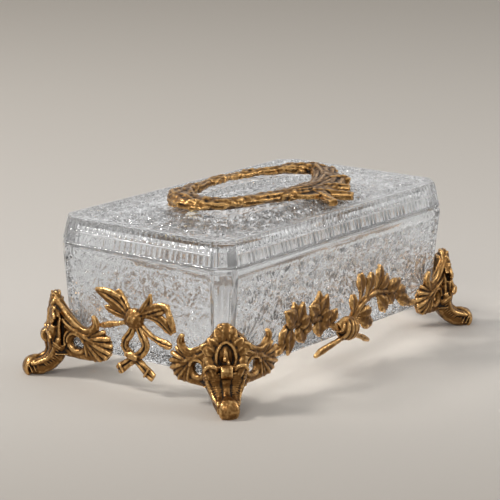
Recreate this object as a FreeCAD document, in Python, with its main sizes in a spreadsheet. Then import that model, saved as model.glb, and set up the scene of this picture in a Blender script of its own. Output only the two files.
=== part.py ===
"""Crystal jewelry box with cast brass feet, garlands, bows and a wreath handle.

The frame has +Z up and its origin on the table, under the middle of the box.
X runs along the long side. The front is -Y. Lengths are in millimetres.
"""

import FreeCAD, Part
import math
import os

import Sketcher
from FreeCAD import Placement, Rotation, Vector

doc = FreeCAD.newDocument("JewelryBox")

# Driving dimensions, one sheet cell each.
DIMENSIONS = {
    "lid_length": 250.0,
    "lid_width": 136.0,
    "corner_cut": 12.0,
    "floor_gap": 18.0,
    "body_height": 65.5,
    "body_wall": 7.0,
    "body_floor": 8.0,
    "body_draft": 5.5,
    "lid_height": 17.0,
    "lid_inset": 4.0,
    "lid_wall": 9.0,
    "lid_plate": 7.0,
    "lip_height": 4.0,
    "lip_wall": 3.5,
    "lip_clearance": 0.6,
    "lid_border": 12.0,
    "collar_length": 150.0,
    "collar_width": 74.0,
    "collar_height": 4.0,
    "panel_length": 116.0,
    "panel_width": 46.0,
    "panel_depth": 5.5,
    "wreath_length": 136.0,
    "wreath_width": 61.0,
    "wreath_radius": 3.9,
    "wreath_flat": 0.8,
    "twig_radius": 1.8,
    "stud_radius": 1.5,
    "stud_clearance": 0.4,
    "stud_depth": 4.5,
    "washer_radius": 4.2,
    "washer_height": 1.0,
    "nut_flats": 5.5,
    "nut_height": 2.4,
    "brass_gap": 0.4,
    "wing_length": 44.0,
    "wing_thickness": 4.5,
    "crest_height": 52.0,
    "horn_setback": 8.0,
    "horn_height": 42.0,
    "horn_foot": 31.5,
    "shell_top": 29.0,
    "shell_low": 17.0,
    "wing_hole_radius": 3.2,
    "wing_hole_height": 23.0,
    "leg_width": 12.0,
    "toe_reach": 17.5,
    "toe_flat": 6.0,
    "ledge_length": 27.0,
    "ledge_thickness": 3.0,
    "pad_side": 13.0,
    "pad_thickness": 1.5,
    "pad_inset": 10.5,
    "sprig_thickness": 4.0,
    "binding_radius": 5.5,
    "binding_length": 15.0,
    "binding_wraps": 4.0,
    "bow_knot_radius": 5.2,
    "bow_top": 63.0,
}

sheet = doc.addObject("Spreadsheet::Sheet", "dims")
for row, (alias, value) in enumerate(DIMENSIONS.items(), start=1):
    sheet.set(f"A{row}", alias)
    sheet.set(f"B{row}", str(value))
    sheet.setAlias(f"B{row}", alias)
doc.recompute()


def dim(alias):
    """A driving dimension, read from the sheet."""
    return float(sheet.get(alias))


# Heights and planes that several pieces share, as sheet formulas and as numbers.
RIM_Z = "dims.floor_gap + dims.body_height"
LID_TOP_Z = f"{RIM_Z} + dims.lid_height"
COLLAR_TOP_Z = f"{LID_TOP_Z} + dims.collar_height"
CEILING_Z = f"{LID_TOP_Z} - dims.lid_plate"

rim_z = dim("floor_gap") + dim("body_height")
lid_top_z = rim_z + dim("lid_height")
collar_top_z = lid_top_z + dim("collar_height")
ceiling_z = lid_top_z - dim("lid_plate")

# The brass hangs in upright planes just outside the glass, clear of it at the highest piece, the bow.
glass_lean = dim("body_draft") / dim("body_height")
brass_setback = glass_lean * (rim_z - dim("bow_top"))
corner_x = dim("lid_length") / 2 - brass_setback + dim("brass_gap")
corner_y = dim("lid_width") / 2 - brass_setback + dim("brass_gap")

sub_parts = []


def finish(obj, label):
    """Names a sub-part and keeps it for the export."""
    obj.Label = label
    sub_parts.append(obj)
    return obj


def origin_plane(body, role):
    """One of a body's own base planes, by its role."""
    return next(f for f in body.Origin.OriginFeatures if f.Role == role)


def amount(formula):
    """The number that a sheet formula comes to."""
    value = sheet.evalExpression(formula)
    return float(getattr(value, "Value", value))


def bind(sketch, kind, args, name, formula):
    """Adds a distance constraint whose value is a sheet formula."""
    index = sketch.addConstraint(Sketcher.Constraint(kind, *args, amount(formula)))
    sketch.renameConstraint(index, name)
    sketch.setExpression(f"Constraints.{name}", formula)


def octagon_sketch(body, name, length, width, cut, height):
    """A rectangle with its four corners cut, level at a height. Sizes are sheet formulas."""
    sketch = body.newObject("Sketcher::SketchObject", name)
    sketch.AttachmentSupport = [(origin_plane(body, "XY_Plane"), "")]
    sketch.MapMode = "FlatFace"
    sketch.setExpression("AttachmentOffset.Base.z", height)
    half_x = amount(length) / 2
    half_y = amount(width) / 2
    c = amount(cut)
    corners = [
        (-half_x + c, -half_y),
        (half_x - c, -half_y),
        (half_x, -half_y + c),
        (half_x, half_y - c),
        (half_x - c, half_y),
        (-half_x + c, half_y),
        (-half_x, half_y - c),
        (-half_x, -half_y + c),
    ]
    count = len(corners)
    for i in range(count):
        start, end = corners[i], corners[(i + 1) % count]
        sketch.addGeometry(Part.LineSegment(Vector(*start, 0), Vector(*end, 0)), False)
    for i in range(count):
        sketch.addConstraint(Sketcher.Constraint("Coincident", i, 2, (i + 1) % count, 1))
    for i in range(4):
        sketch.addConstraint(Sketcher.Constraint("Symmetric", i, 1, i + 4, 1, -1, 1))
    sketch.addConstraint(Sketcher.Constraint("Horizontal", 0))
    sketch.addConstraint(Sketcher.Constraint("Vertical", 2))
    bind(sketch, "DistanceX", (0, 1, 0, 2), "front_edge", f"{length} - 2 * ({cut})")
    bind(sketch, "DistanceX", (1, 1, 1, 2), "cut_x", cut)
    bind(sketch, "DistanceY", (1, 1, 1, 2), "cut_y", cut)
    bind(sketch, "DistanceY", (2, 1, 2, 2), "side_edge", f"{width} - 2 * ({cut})")
    bind(sketch, "DistanceX", (0, 1, -1, 1), "middle_x", f"({length}) / 2 - ({cut})")
    bind(sketch, "DistanceY", (0, 1, -1, 1), "middle_y", f"({width}) / 2")
    return sketch


def loft(body, kind, name, low, high):
    """A straight-sided loft between two sketches, added to or cut from a body."""
    feature = body.newObject(f"PartDesign::{kind}", name)
    feature.Profile = low
    feature.Sections = [high]
    feature.Ruled = True
    doc.recompute()
    return feature


# Glass box: a drafted tub with cut corners.
BASE_LENGTH = "dims.lid_length - 2 * dims.body_draft"
BASE_WIDTH = "dims.lid_width - 2 * dims.body_draft"
WELL_LENGTH = "dims.lid_length - 2 * dims.body_wall"
WELL_WIDTH = "dims.lid_width - 2 * dims.body_wall"
# A wall of even thickness moves a 45 degree corner in by less along the sides.
WELL_CUT = "dims.corner_cut - dims.body_wall * (2 - sqrt(2))"
WELL_LEAN = "dims.body_draft * (dims.body_height - dims.body_floor) / dims.body_height"


def make_glass_box():
    body = doc.addObject("PartDesign::Body", "GlassBox")
    base = octagon_sketch(body, "BoxBase", BASE_LENGTH, BASE_WIDTH, "dims.corner_cut", "dims.floor_gap")
    rim = octagon_sketch(body, "BoxRim", "dims.lid_length", "dims.lid_width", "dims.corner_cut", RIM_Z)
    loft(body, "AdditiveLoft", "BoxBlock", base, rim)
    floor = octagon_sketch(
        body,
        "WellFloor",
        f"{WELL_LENGTH} - 2 * {WELL_LEAN}",
        f"{WELL_WIDTH} - 2 * {WELL_LEAN}",
        WELL_CUT,
        "dims.floor_gap + dims.body_floor",
    )
    mouth = octagon_sketch(body, "WellMouth", WELL_LENGTH, WELL_WIDTH, WELL_CUT, RIM_Z)
    loft(body, "SubtractiveLoft", "Well", floor, mouth)
    finish(body, "glass_box")


# Glass lid: a shallow hipped cap with a locating lip below. Its top swells to an oval seat round a sunk panel.
TOP_LENGTH = "dims.lid_length - 2 * dims.lid_inset"
TOP_WIDTH = "dims.lid_width - 2 * dims.lid_inset"
HOLLOW_LENGTH = "dims.lid_length - 2 * dims.lid_wall - 2 * dims.lip_wall"
HOLLOW_WIDTH = "dims.lid_width - 2 * dims.lid_wall - 2 * dims.lip_wall"
LIP_LENGTH = f"{WELL_LENGTH} - 2 * dims.lip_clearance"
LIP_WIDTH = f"{WELL_WIDTH} - 2 * dims.lip_clearance"
LIP_LEAN = "dims.body_draft * dims.lip_height / dims.body_height"
STUD_X = "dims.wreath_length / 2"


def oval(name, length, width, height):
    """A level oval edge. Sizes and height are sheet formulas."""
    edge = doc.addObject("Part::Ellipse", name)
    edge.setExpression("MajorRadius", f"({length}) / 2")
    edge.setExpression("MinorRadius", f"({width}) / 2")
    edge.setExpression("Placement.Base.z", height)
    return edge


def oval_block(name, low, high):
    """A solid between two oval edges."""
    block = doc.addObject("Part::Loft", name)
    block.Sections = [low, high]
    block.Solid = True
    block.Ruled = True
    return block


def upright_cylinder(name, radius, height, x, z):
    """A cylinder along Z, on the long axis. Arguments are sheet formulas."""
    rod = doc.addObject("Part::Cylinder", name)
    rod.setExpression("Radius", radius)
    rod.setExpression("Height", height)
    rod.setExpression("Placement.Base.x", x)
    rod.setExpression("Placement.Base.z", z)
    return rod


def group(kind, name, shapes):
    """A fuse or a compound of several objects."""
    made = doc.addObject(kind, name)
    if kind == "Part::Compound":
        made.Links = shapes
    else:
        made.Shapes = shapes
    return made


def cut(name, base, tool):
    made = doc.addObject("Part::Cut", name)
    made.Base = base
    made.Tool = tool
    return made


def make_glass_lid():
    body = doc.addObject("PartDesign::Body", "LidCap")
    seat = octagon_sketch(body, "LidSeat", "dims.lid_length", "dims.lid_width", "dims.corner_cut", RIM_Z)
    top = octagon_sketch(body, "LidTop", TOP_LENGTH, TOP_WIDTH, "dims.corner_cut", LID_TOP_Z)
    loft(body, "AdditiveLoft", "LidBlock", seat, top)
    lip_foot = octagon_sketch(
        body,
        "LipFoot",
        f"{LIP_LENGTH} - 2 * {LIP_LEAN}",
        f"{LIP_WIDTH} - 2 * {LIP_LEAN}",
        WELL_CUT,
        f"{RIM_Z} - dims.lip_height",
    )
    lip_root = octagon_sketch(body, "LipRoot", LIP_LENGTH, LIP_WIDTH, WELL_CUT, RIM_Z)
    loft(body, "AdditiveLoft", "Lip", lip_foot, lip_root)
    hollow_low = octagon_sketch(
        body, "HollowMouth", HOLLOW_LENGTH, HOLLOW_WIDTH, WELL_CUT, f"{RIM_Z} - dims.lip_height"
    )
    hollow_high = octagon_sketch(body, "HollowTop", HOLLOW_LENGTH, HOLLOW_WIDTH, WELL_CUT, CEILING_Z)
    loft(body, "SubtractiveLoft", "Hollow", hollow_low, hollow_high)

    swell_foot = oval(
        "SwellFoot", f"{TOP_LENGTH} - 2 * dims.lid_border", f"{TOP_WIDTH} - 2 * dims.lid_border", LID_TOP_Z
    )
    swell_top = oval("SwellTop", "dims.collar_length", "dims.collar_width", COLLAR_TOP_Z)
    swell = oval_block("Swell", swell_foot, swell_top)
    raised = group("Part::MultiFuse", "LidWithSwell", [body, swell])
    panel_floor = oval(
        "PanelFloor", "dims.panel_length", "dims.panel_width", f"{COLLAR_TOP_Z} - dims.panel_depth"
    )
    panel_mouth = oval("PanelMouth", "dims.panel_length", "dims.panel_width", COLLAR_TOP_Z)
    panel = oval_block("Panel", panel_floor, panel_mouth)
    holes = [
        upright_cylinder(
            f"StudHole{side}",
            "dims.stud_radius + dims.stud_clearance",
            "dims.lid_plate + dims.collar_height",
            f"{sign} * {STUD_X}",
            CEILING_Z,
        )
        for side, sign in (("Left", -1), ("Right", 1))
    ]
    finish(cut("GlassLid", raised, group("Part::MultiFuse", "LidTools", [panel] + holes)), "glass_lid")


# Brass wreath: an oval branch, flat below, with cut twigs at the front and a knot at the back.
# Roots and the knot are shares of half the wreath, tips of half the lid's top, and drops of the branch's radius.
TWIG_ROOTS = [
    (0.818529412, -0.713442623),
    (0.640588235, -0.776393443),
    (0.462647059, -0.839344262),
    (0.320294118, -0.860327869),
]
TWIG_TIPS = [(0.42, -0.56), (0.26, -0.78), (0.02, -0.93), (-0.05, -0.84)]
TWIG_DROP = 0.6
KNOT_PLACE = (-0.747352941, 0.797377049)
KNOT_RADIUS = 1.25


def make_wreath():
    ring_z = f"{COLLAR_TOP_Z} + dims.wreath_radius - dims.wreath_flat"
    spine = doc.addObject("Part::Ellipse", "WreathSpine")
    spine.setExpression("MajorRadius", "dims.wreath_length / 2")
    spine.setExpression("MinorRadius", "dims.wreath_width / 2")
    spine.setExpression("Placement.Base.z", ring_z)
    section = doc.addObject("Part::Circle", "WreathSection")
    section.setExpression("Radius", "dims.wreath_radius")
    section.Placement = Placement(Vector(0, 0, 0), Rotation(Vector(1, 0, 0), 90))
    section.setExpression("Placement.Base.x", "dims.wreath_length / 2")
    section.setExpression("Placement.Base.z", ring_z)
    ring = doc.addObject("Part::Sweep", "WreathRing")
    ring.Sections = [section]
    ring.Spine = (spine, ["Edge1"])
    ring.Solid = True
    ring.Frenet = True

    half_x = dim("lid_length") / 2 - dim("lid_inset")
    half_y = dim("lid_width") / 2 - dim("lid_inset")
    ring_x = dim("wreath_length") / 2
    ring_y = dim("wreath_width") / 2
    axis_z = collar_top_z + dim("wreath_radius") - dim("wreath_flat")
    twigs = []
    for (root_x, root_y), (tip_x, tip_y) in zip(TWIG_ROOTS, TWIG_TIPS):
        root = Vector(root_x * ring_x, root_y * ring_y, axis_z)
        tip = Vector(tip_x * half_x, tip_y * half_y, axis_z - TWIG_DROP * dim("wreath_radius"))
        run = tip - root
        twig = doc.addObject("Part::Cone", "Twig")
        twig.setExpression("Radius1", "dims.wreath_radius * 0.8")
        twig.setExpression("Radius2", "dims.twig_radius")
        twig.Height = run.Length
        twig.Placement = Placement(root, Rotation(Vector(0, 0, 1), run))
        twigs.append(twig)
    knot = doc.addObject("Part::Sphere", "WreathKnot")
    knot.setExpression("Radius", f"dims.wreath_radius * {KNOT_RADIUS}")
    knot.Placement = Placement(Vector(KNOT_PLACE[0] * ring_x, KNOT_PLACE[1] * ring_y, axis_z), Rotation())
    raw = group("Part::MultiFuse", "WreathRaw", [ring, knot] + twigs)

    below = doc.addObject("Part::Box", "BelowWreath")
    below.setExpression("Length", "dims.lid_length")
    below.setExpression("Width", "dims.lid_width")
    below.setExpression("Height", "2 * dims.wreath_radius")
    below.setExpression("Placement.Base.x", "-dims.lid_length / 2")
    below.setExpression("Placement.Base.y", "-dims.lid_width / 2")
    below.setExpression("Placement.Base.z", f"{COLLAR_TOP_Z} - 2 * dims.wreath_radius")
    sockets = [
        upright_cylinder(
            f"StudSocket{side}", "dims.stud_radius", "dims.stud_depth", f"{sign} * {STUD_X}", COLLAR_TOP_Z
        )
        for side, sign in (("Left", -1), ("Right", 1))
    ]
    tools = group("Part::MultiFuse", "WreathTools", [below] + sockets)
    finish(cut("Wreath", raw, tools), "wreath_handle")


def make_wreath_fasteners():
    """Two studs cast into the wreath, each with a soft washer and a hexagon nut under the lid."""
    sides = (("Left", -1), ("Right", 1))
    stud_low = f"{CEILING_Z} - dims.washer_height - dims.nut_height - 1"
    stud_length = f"{COLLAR_TOP_Z} + dims.stud_depth - ({stud_low})"
    studs = [
        upright_cylinder(f"Stud{side}", "dims.stud_radius", stud_length, f"{sign} * {STUD_X}", stud_low)
        for side, sign in sides
    ]
    finish(group("Part::Compound", "Studs", studs), "wreath_studs")

    washers, nuts = [], []
    for side, sign in sides:
        x = f"{sign} * {STUD_X}"
        disc = upright_cylinder(
            f"Disc{side}", "dims.washer_radius", "dims.washer_height", x, f"{CEILING_Z} - dims.washer_height"
        )
        eye = upright_cylinder(
            f"Eye{side}", "dims.stud_radius", "dims.washer_height", x, f"{CEILING_Z} - dims.washer_height"
        )
        washers.append(cut(f"Washer{side}", disc, eye))
        nut_z = f"{CEILING_Z} - dims.washer_height - dims.nut_height"
        prism = doc.addObject("Part::Prism", f"Hexagon{side}")
        prism.Polygon = 6
        prism.setExpression("Circumradius", "dims.nut_flats / sqrt(3)")
        prism.setExpression("Height", "dims.nut_height")
        prism.setExpression("Placement.Base.x", x)
        prism.setExpression("Placement.Base.z", nut_z)
        bore = upright_cylinder(f"NutBore{side}", "dims.stud_radius", "dims.nut_height", x, nut_z)
        nuts.append(cut(f"Nut{side}", prism, bore))
    finish(group("Part::Compound", "Washers", washers), "stud_washers")
    finish(group("Part::Compound", "Nuts", nuts), "stud_nuts")


# Feet: each is one casting with two wings along the glass, a leg on the diagonal and a ledge below the glass.
ledge_top = dim("floor_gap") - dim("pad_thickness")
CORNERS = {
    "front_left": (-1, -1, 0),
    "front_right": (1, -1, 90),
    "back_right": (1, 1, 180),
    "back_left": (-1, 1, 270),
}


def wing_outline():
    """A wing as (distance from the corner, height): ledge, shell end, horn, volute and crest."""
    reach = dim("wing_length")
    horn = reach - dim("horn_setback")
    crest = dim("crest_height")
    low = ledge_top - dim("ledge_thickness")
    return [
        (-dim("wing_thickness"), low),
        (reach * 0.45, low + 1),
        (horn, dim("shell_low") - 4),
        (reach, dim("shell_low")),
        (reach, dim("shell_top")),
        (horn, dim("horn_foot")),
        (horn, dim("horn_height")),
        (horn - 4, dim("horn_height")),
        (horn - 7, dim("horn_foot") + 3.5),
        (horn - 13, dim("horn_foot") + 1.5),
        (reach * 0.36, dim("horn_height") - 2),
        (reach * 0.18, dim("horn_height")),
        (reach * 0.06, crest),
        (-dim("wing_thickness") * 0.5, crest),
    ]


def leg_outline():
    """The foot's side profile on its diagonal, as (distance out from the glass corner, height)."""
    back = -dim("corner_cut") / math.sqrt(2) + dim("brass_gap")
    toe = dim("toe_reach")
    flat = dim("toe_flat")
    ledge = ledge_top - dim("ledge_thickness")
    return [
        (back, ledge),
        (0.0, ledge),
        (toe * 0.30, 6.0),
        (toe - 3 - flat, 0.0),
        (toe - 3, 0.0),
        (toe, 2.5),
        (toe, 7.0),
        (toe - 3, 10.0),
        (toe - 8, 10.5),
        (toe * 0.42, 14.0),
        (toe * 0.40, 21.0),
        (toe * 0.53, 25.0),
        (toe * 0.50, 29.5),
        (toe * 0.20, 33.0),
        (0.0, 42.0),
        (-1.5, dim("crest_height")),
        (back, dim("crest_height")),
    ]


def outline_sketch(body, name, role, points, turn=0.0, height=0.0):
    """A closed outline of straight edges on one of a body's base planes, turned about Z or raised."""
    sketch = body.newObject("Sketcher::SketchObject", name)
    sketch.AttachmentSupport = [(origin_plane(body, role), "")]
    sketch.MapMode = "FlatFace"
    sketch.AttachmentOffset = Placement(Vector(0, 0, height), Rotation(Vector(0, 1, 0), turn))
    count = len(points)
    for i in range(count):
        start, end = points[i], points[(i + 1) % count]
        sketch.addGeometry(Part.LineSegment(Vector(*start, 0), Vector(*end, 0)), False)
    for i in range(count):
        sketch.addConstraint(Sketcher.Constraint("Coincident", i, 2, (i + 1) % count, 1))
    return sketch


def wing_sketch(body, name, role):
    """A wing's outline with its pierced hole."""
    sketch = outline_sketch(body, name, role, wing_outline())
    middle = Vector(dim("wing_length") * 0.48, dim("wing_hole_height"), 0)
    sketch.addGeometry(Part.Circle(middle, Vector(0, 0, 1), dim("wing_hole_radius")), False)
    return sketch


def pad(body, name, sketch, length, reverse=False, midplane=False):
    feature = body.newObject("PartDesign::Pad", name)
    feature.Profile = sketch
    feature.setExpression("Length", length)
    feature.Reversed = reverse
    if midplane:
        feature.SideType = "Symmetric"
    doc.recompute()
    return feature


def make_foot(corner):
    sign_x, sign_y, turn = CORNERS[corner]
    body = doc.addObject("PartDesign::Body", f"Foot_{corner}")
    pad(body, "WingX", wing_sketch(body, "WingAlongX", "XZ_Plane"), "dims.wing_thickness")
    pad(body, "WingY", wing_sketch(body, "WingAlongY", "YZ_Plane"), "dims.wing_thickness", reverse=True)
    profile = [(-out, z) for out, z in leg_outline()]
    leg = outline_sketch(body, "LegProfile", "XZ_Plane", profile, turn=45)
    pad(body, "Leg", leg, "dims.leg_width", midplane=True)
    reach = dim("ledge_length")
    corners = [(-1, -1), (reach, -1), (reach, reach * 0.4), (reach * 0.4, reach), (-1, reach)]
    ledge = outline_sketch(body, "LedgeOutline", "XY_Plane", corners, height=ledge_top)
    pad(body, "Ledge", ledge, "dims.ledge_thickness", reverse=True)
    body.Placement = Placement(Vector(sign_x * corner_x, sign_y * corner_y, 0), Rotation(Vector(0, 0, 1), turn))
    finish(body, f"foot_{corner}")


def make_seat_pad(corner):
    """A soft clear pad between a foot's ledge and the glass."""
    sign_x, sign_y, turn = CORNERS[corner]
    block = doc.addObject("Part::Box", f"Pad_{corner}")
    block.setExpression("Length", "dims.pad_side")
    block.setExpression("Width", "dims.pad_side")
    block.setExpression("Height", "dims.pad_thickness")
    spin = Rotation(Vector(0, 0, 1), turn)
    inset = spin.multVec(Vector(dim("pad_inset"), dim("pad_inset"), ledge_top))
    block.Placement = Placement(Vector(sign_x * corner_x, sign_y * corner_y, 0) + inset, spin)
    finish(block, f"seat_pad_{corner}")


# Garlands and bows: flat castings between the feet, as outlines of (place along the side, height).
# Places along the garland are shares of the way from its middle to the foot, so that it always reaches.
LEFT_SPRIG = [
    (-1.0, 23.0), (-1.0, 28.5), (-0.87, 36.0), (-0.86, 48.0), (-0.70, 51.0), (-0.64, 46.0),
    (-0.60, 38.0), (-0.48, 42.0), (-0.42, 51.0), (-0.30, 50.5), (-0.31, 41.0), (-0.20, 38.0),
    ("binding_left", 29.0), ("binding_left", 22.5), (-0.25, 27.5), (-0.32, 23.5), (-0.42, 31.0),
    (-0.50, 33.0), (-0.58, 25.0), (-0.68, 33.0), (-0.76, 28.0), (-0.84, 21.0), (-0.95, 20.5),
]
RIGHT_SPRIG = [
    ("binding_right", 22.5), ("binding_right", 29.0), (0.11, 42.0), (0.18, 42.5), (0.20, 37.0),
    (0.19, 55.5), (0.27, 55.5), (0.30, 45.0), (0.36, 53.0), (0.43, 53.0), (0.42, 45.0),
    (0.50, 56.5), (0.60, 56.0), (0.58, 46.0), (0.70, 47.0), (0.84, 42.0), (0.95, 34.5),
    (1.0, 28.5), (1.0, 23.0), (0.88, 28.0), (0.72, 33.0), (0.66, 26.5), (0.58, 27.0),
    (0.52, 35.0), (0.42, 28.5), (0.43, 21.0), (0.32, 20.5), (0.22, 25.0),
]
BINDING_HEIGHT = 24.5
LEFT_TAIL = [(-0.05, 20.5), (-0.34, 15.5), (-0.43, 13.0), (-0.40, 11.5), (-0.28, 12.5), (-0.01, 19.5)]
RIGHT_TAIL = [(0.02, 19.5), (0.32, 10.0), (0.34, 12.0), (0.30, 14.0), (0.05, 20.5)]
# Places along the bow are shares of the way to a foot's horn, and along its tails of the way to a foot's shell.
# They run to the left as the bow is seen.
BOW = [
    (0.15, 50.0), (0.37, 60.0), (0.95, 60.0), (1.04, 57.0), (0.75, 52.0), (0.85, 49.0), (0.78, 46.5),
    (0.24, 45.0), (1.0, 38.5), (1.0, 35.0), (0.17, 40.0), (-0.10, 40.0), (-1.0, 31.5),
    (-1.0, 35.0), (-0.34, 42.5), (-0.51, 45.5), (-0.81, 38.5), (-0.95, 38.5), (-1.02, 47.0),
    (-0.81, 57.5), (-0.58, 56.0), (-0.44, 54.5), (-0.32, "top"), (-0.24, "top"), (-0.15, 50.0),
]
BOW_KNOT_Z = 45.5
BOW_TAILS = [
    (0.22, 40.0), (0.49, 31.5), (0.47, 25.5), (0.23, 22.5), (0.67, 14.0), (0.51, 9.0), (0.05, 17.5),
    (-0.37, 9.0), (-0.63, 13.0), (-0.21, 23.0), (-0.40, 30.0), (-0.26, 35.5), (-0.12, 40.0),
]
BOW_EYE = [(0.05, 35.0), (0.26, 29.5), (0.09, 25.0), (-0.16, 29.5)]


def plate(outline, eye=None):
    """A casting's flat stand-in: an outline on the XZ plane, as thick as a sprig, with its back at y = 0."""
    face = Part.Face(Part.makePolygon([Vector(x, 0, z) for x, z in outline + outline[:1]]))
    solid = face.extrude(Vector(0, -dim("sprig_thickness"), 0))
    if eye:
        window = Part.Face(Part.makePolygon([Vector(x, 0, z) for x, z in eye + eye[:1]]))
        solid = solid.cut(window.extrude(Vector(0, -dim("sprig_thickness"), 0)))
    return solid


def add_casting(label, shape, placement):
    feature = doc.addObject("Part::Feature", label)
    feature.Shape = shape
    feature.Placement = placement
    finish(feature, label)


def make_garland(side, placement):
    """Two leafy sprigs soldered to the shells of two feet and to a wrapped binding between them."""
    half = corner_x - dim("wing_length")
    ends = {"binding_left": -dim("binding_length") / 2, "binding_right": dim("binding_length") / 2}

    def spread(outline):
        return [(ends[place] if isinstance(place, str) else place * half, z) for place, z in outline]

    add_casting(f"{side}_garland_left_sprig", plate(spread(LEFT_SPRIG)), placement)
    add_casting(f"{side}_garland_right_sprig", plate(spread(RIGHT_SPRIG)), placement)
    radius = dim("binding_radius")
    wrap_width = dim("binding_length") / dim("binding_wraps")
    binding = Part.makeCylinder(
        radius * 0.9,
        dim("binding_length"),
        Vector(ends["binding_left"], -radius, BINDING_HEIGHT),
        Vector(1, 0, 0),
    )
    for i in range(round(dim("binding_wraps"))):
        start = Vector(ends["binding_left"] + (i + 0.1) * wrap_width, -radius, BINDING_HEIGHT)
        binding = binding.fuse(Part.makeCylinder(radius, wrap_width * 0.8, start, Vector(1, 0, 0)))
    for tail in (LEFT_TAIL, RIGHT_TAIL):
        binding = binding.fuse(plate(spread(tail)))
    add_casting(f"{side}_garland_binding", binding.removeSplitter(), placement)


def make_bow(side, placement):
    """A ribbon bow whose tips are soldered to the horns of two feet, and the knotted tails below it."""
    shell = corner_y - dim("wing_length")
    horn = shell + dim("horn_setback")
    outline = [(-share * horn, dim("bow_top") if z == "top" else z) for share, z in BOW]
    tails = [(-share * shell, z) for share, z in BOW_TAILS]
    eye = [(-share * shell, z) for share, z in BOW_EYE]
    knot_depth = dim("sprig_thickness") + 2
    knot = Part.makeCylinder(dim("bow_knot_radius"), knot_depth, Vector(0, 0, BOW_KNOT_Z), Vector(0, -1, 0))
    add_casting(f"{side}_bow", plate(outline).fuse(knot).removeSplitter(), placement)
    add_casting(f"{side}_bow_tails", plate(tails, eye), placement)


def check_document():
    """Stops before anything is written if an object failed or a sub-part has no sound solid."""
    doc.recompute()
    for obj in doc.Objects:
        if "Invalid" in obj.State or "Error" in obj.State:
            raise RuntimeError(f"{obj.Name} failed: {obj.State}")
    for obj in sub_parts:
        shape = obj.Shape
        if shape.isNull() or not shape.isValid() or not shape.Solids:
            raise RuntimeError(f"{obj.Label} has no sound solid")


make_glass_box()
make_glass_lid()
make_wreath()
make_wreath_fasteners()
for corner_name in CORNERS:
    make_foot(corner_name)
    make_seat_pad(corner_name)
make_garland("front", Placement(Vector(0, -corner_y, 0), Rotation()))
make_garland("back", Placement(Vector(0, corner_y, 0), Rotation(Vector(0, 0, 1), 180)))
make_bow("left", Placement(Vector(-corner_x, 0, 0), Rotation(Vector(0, 0, 1), -90)))
make_bow("right", Placement(Vector(corner_x, 0, 0), Rotation(Vector(0, 0, 1), 90)))
check_document()

os.makedirs("parts", exist_ok=True)
for obj in sub_parts:
    obj.Shape.exportStep(f"parts/{obj.Label}.step")
    print(f"{obj.Label}: {len(obj.Shape.Solids)} solid(s), {obj.Shape.Volume / 1000:.2f} cm3")
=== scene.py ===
import math

import bmesh
import bpy
from mathutils import Matrix, Vector, noise


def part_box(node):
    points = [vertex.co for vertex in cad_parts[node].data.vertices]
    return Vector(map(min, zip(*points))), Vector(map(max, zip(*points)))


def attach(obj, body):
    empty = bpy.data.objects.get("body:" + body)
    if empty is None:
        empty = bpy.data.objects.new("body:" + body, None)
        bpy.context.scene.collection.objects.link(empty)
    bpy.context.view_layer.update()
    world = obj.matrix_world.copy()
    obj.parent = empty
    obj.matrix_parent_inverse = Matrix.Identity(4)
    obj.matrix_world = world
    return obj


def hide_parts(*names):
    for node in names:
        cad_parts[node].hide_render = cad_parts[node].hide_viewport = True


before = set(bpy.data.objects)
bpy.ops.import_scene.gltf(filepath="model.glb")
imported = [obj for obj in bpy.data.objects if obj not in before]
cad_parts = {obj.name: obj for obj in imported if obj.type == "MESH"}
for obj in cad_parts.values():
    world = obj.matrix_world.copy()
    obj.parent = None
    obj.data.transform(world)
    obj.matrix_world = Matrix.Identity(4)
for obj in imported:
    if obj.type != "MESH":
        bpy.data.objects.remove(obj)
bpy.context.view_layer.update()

# Pieces are modelled in millimetres and brought to metres when they are finished.
MM = 0.001

# Planes that the pieces share, from the CAD nodes.
glass_low, glass_high = (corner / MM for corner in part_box("glass_box"))
lid_low, lid_high = (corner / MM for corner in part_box("glass_lid"))
CORNER_X = -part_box("left_bow")[1].x / MM
CORNER_Y = -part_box("front_garland_left_sprig")[1].y / MM
HALF_X = glass_high.x
HALF_Y = glass_high.y
BASE_Z = glass_low.z
RIM_Z = glass_high.z
LIP_Z = lid_low.z
SEAT_Z = lid_high.z

# Sizes of the glass.
CORNER_CUT = 12.0
BODY_DRAFT = 5.5
BODY_WALL = 7.0
BODY_FLOOR = 8.0
LID_TOP_Z = RIM_Z + 17.0
LID_INSET = 4.0
CEILING_Z = LID_TOP_Z - 7.0


# Shaping tools


def smooth_path(stations, steps):
    """Rows of numbers eased along a smooth curve through the stations, several to each gap."""
    rows = []
    last = len(stations) - 1
    for i in range(last):
        before = stations[max(i - 1, 0)]
        start = stations[i]
        end = stations[i + 1]
        after = stations[min(i + 2, last)]
        for k in range(steps):
            t = k / steps
            row = []
            for a, b, c, d in zip(before, start, end, after):
                square = 2 * a - 5 * b + 4 * c - d
                cube = 3 * b - a - 3 * c + d
                row.append(0.5 * (2 * b + (c - a) * t + square * t**2 + cube * t**3))
            rows.append(row)
    rows.append(list(stations[last]))
    return rows


def wrap_grid(bm, around, along, place):
    """A closed skin from a grid: its columns wrap round, and its two open ends are filled."""
    verts = bmesh.ops.create_grid(bm, x_segments=around, y_segments=along, size=0.5)["verts"]
    for vert in verts:
        column = round((vert.co.x + 0.5) * around) % around
        row = round((vert.co.y + 0.5) * along)
        vert.co = place(column, row)
    bmesh.ops.remove_doubles(bm, verts=verts, dist=1e-5)
    verts = [vert for vert in verts if vert.is_valid]
    rims = {edge for vert in verts for edge in vert.link_edges if edge.is_boundary}
    bmesh.ops.holes_fill(bm, edges=list(rims), sides=0)


def oval_section(angle, share):
    return math.cos(angle), math.sin(angle)


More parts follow.
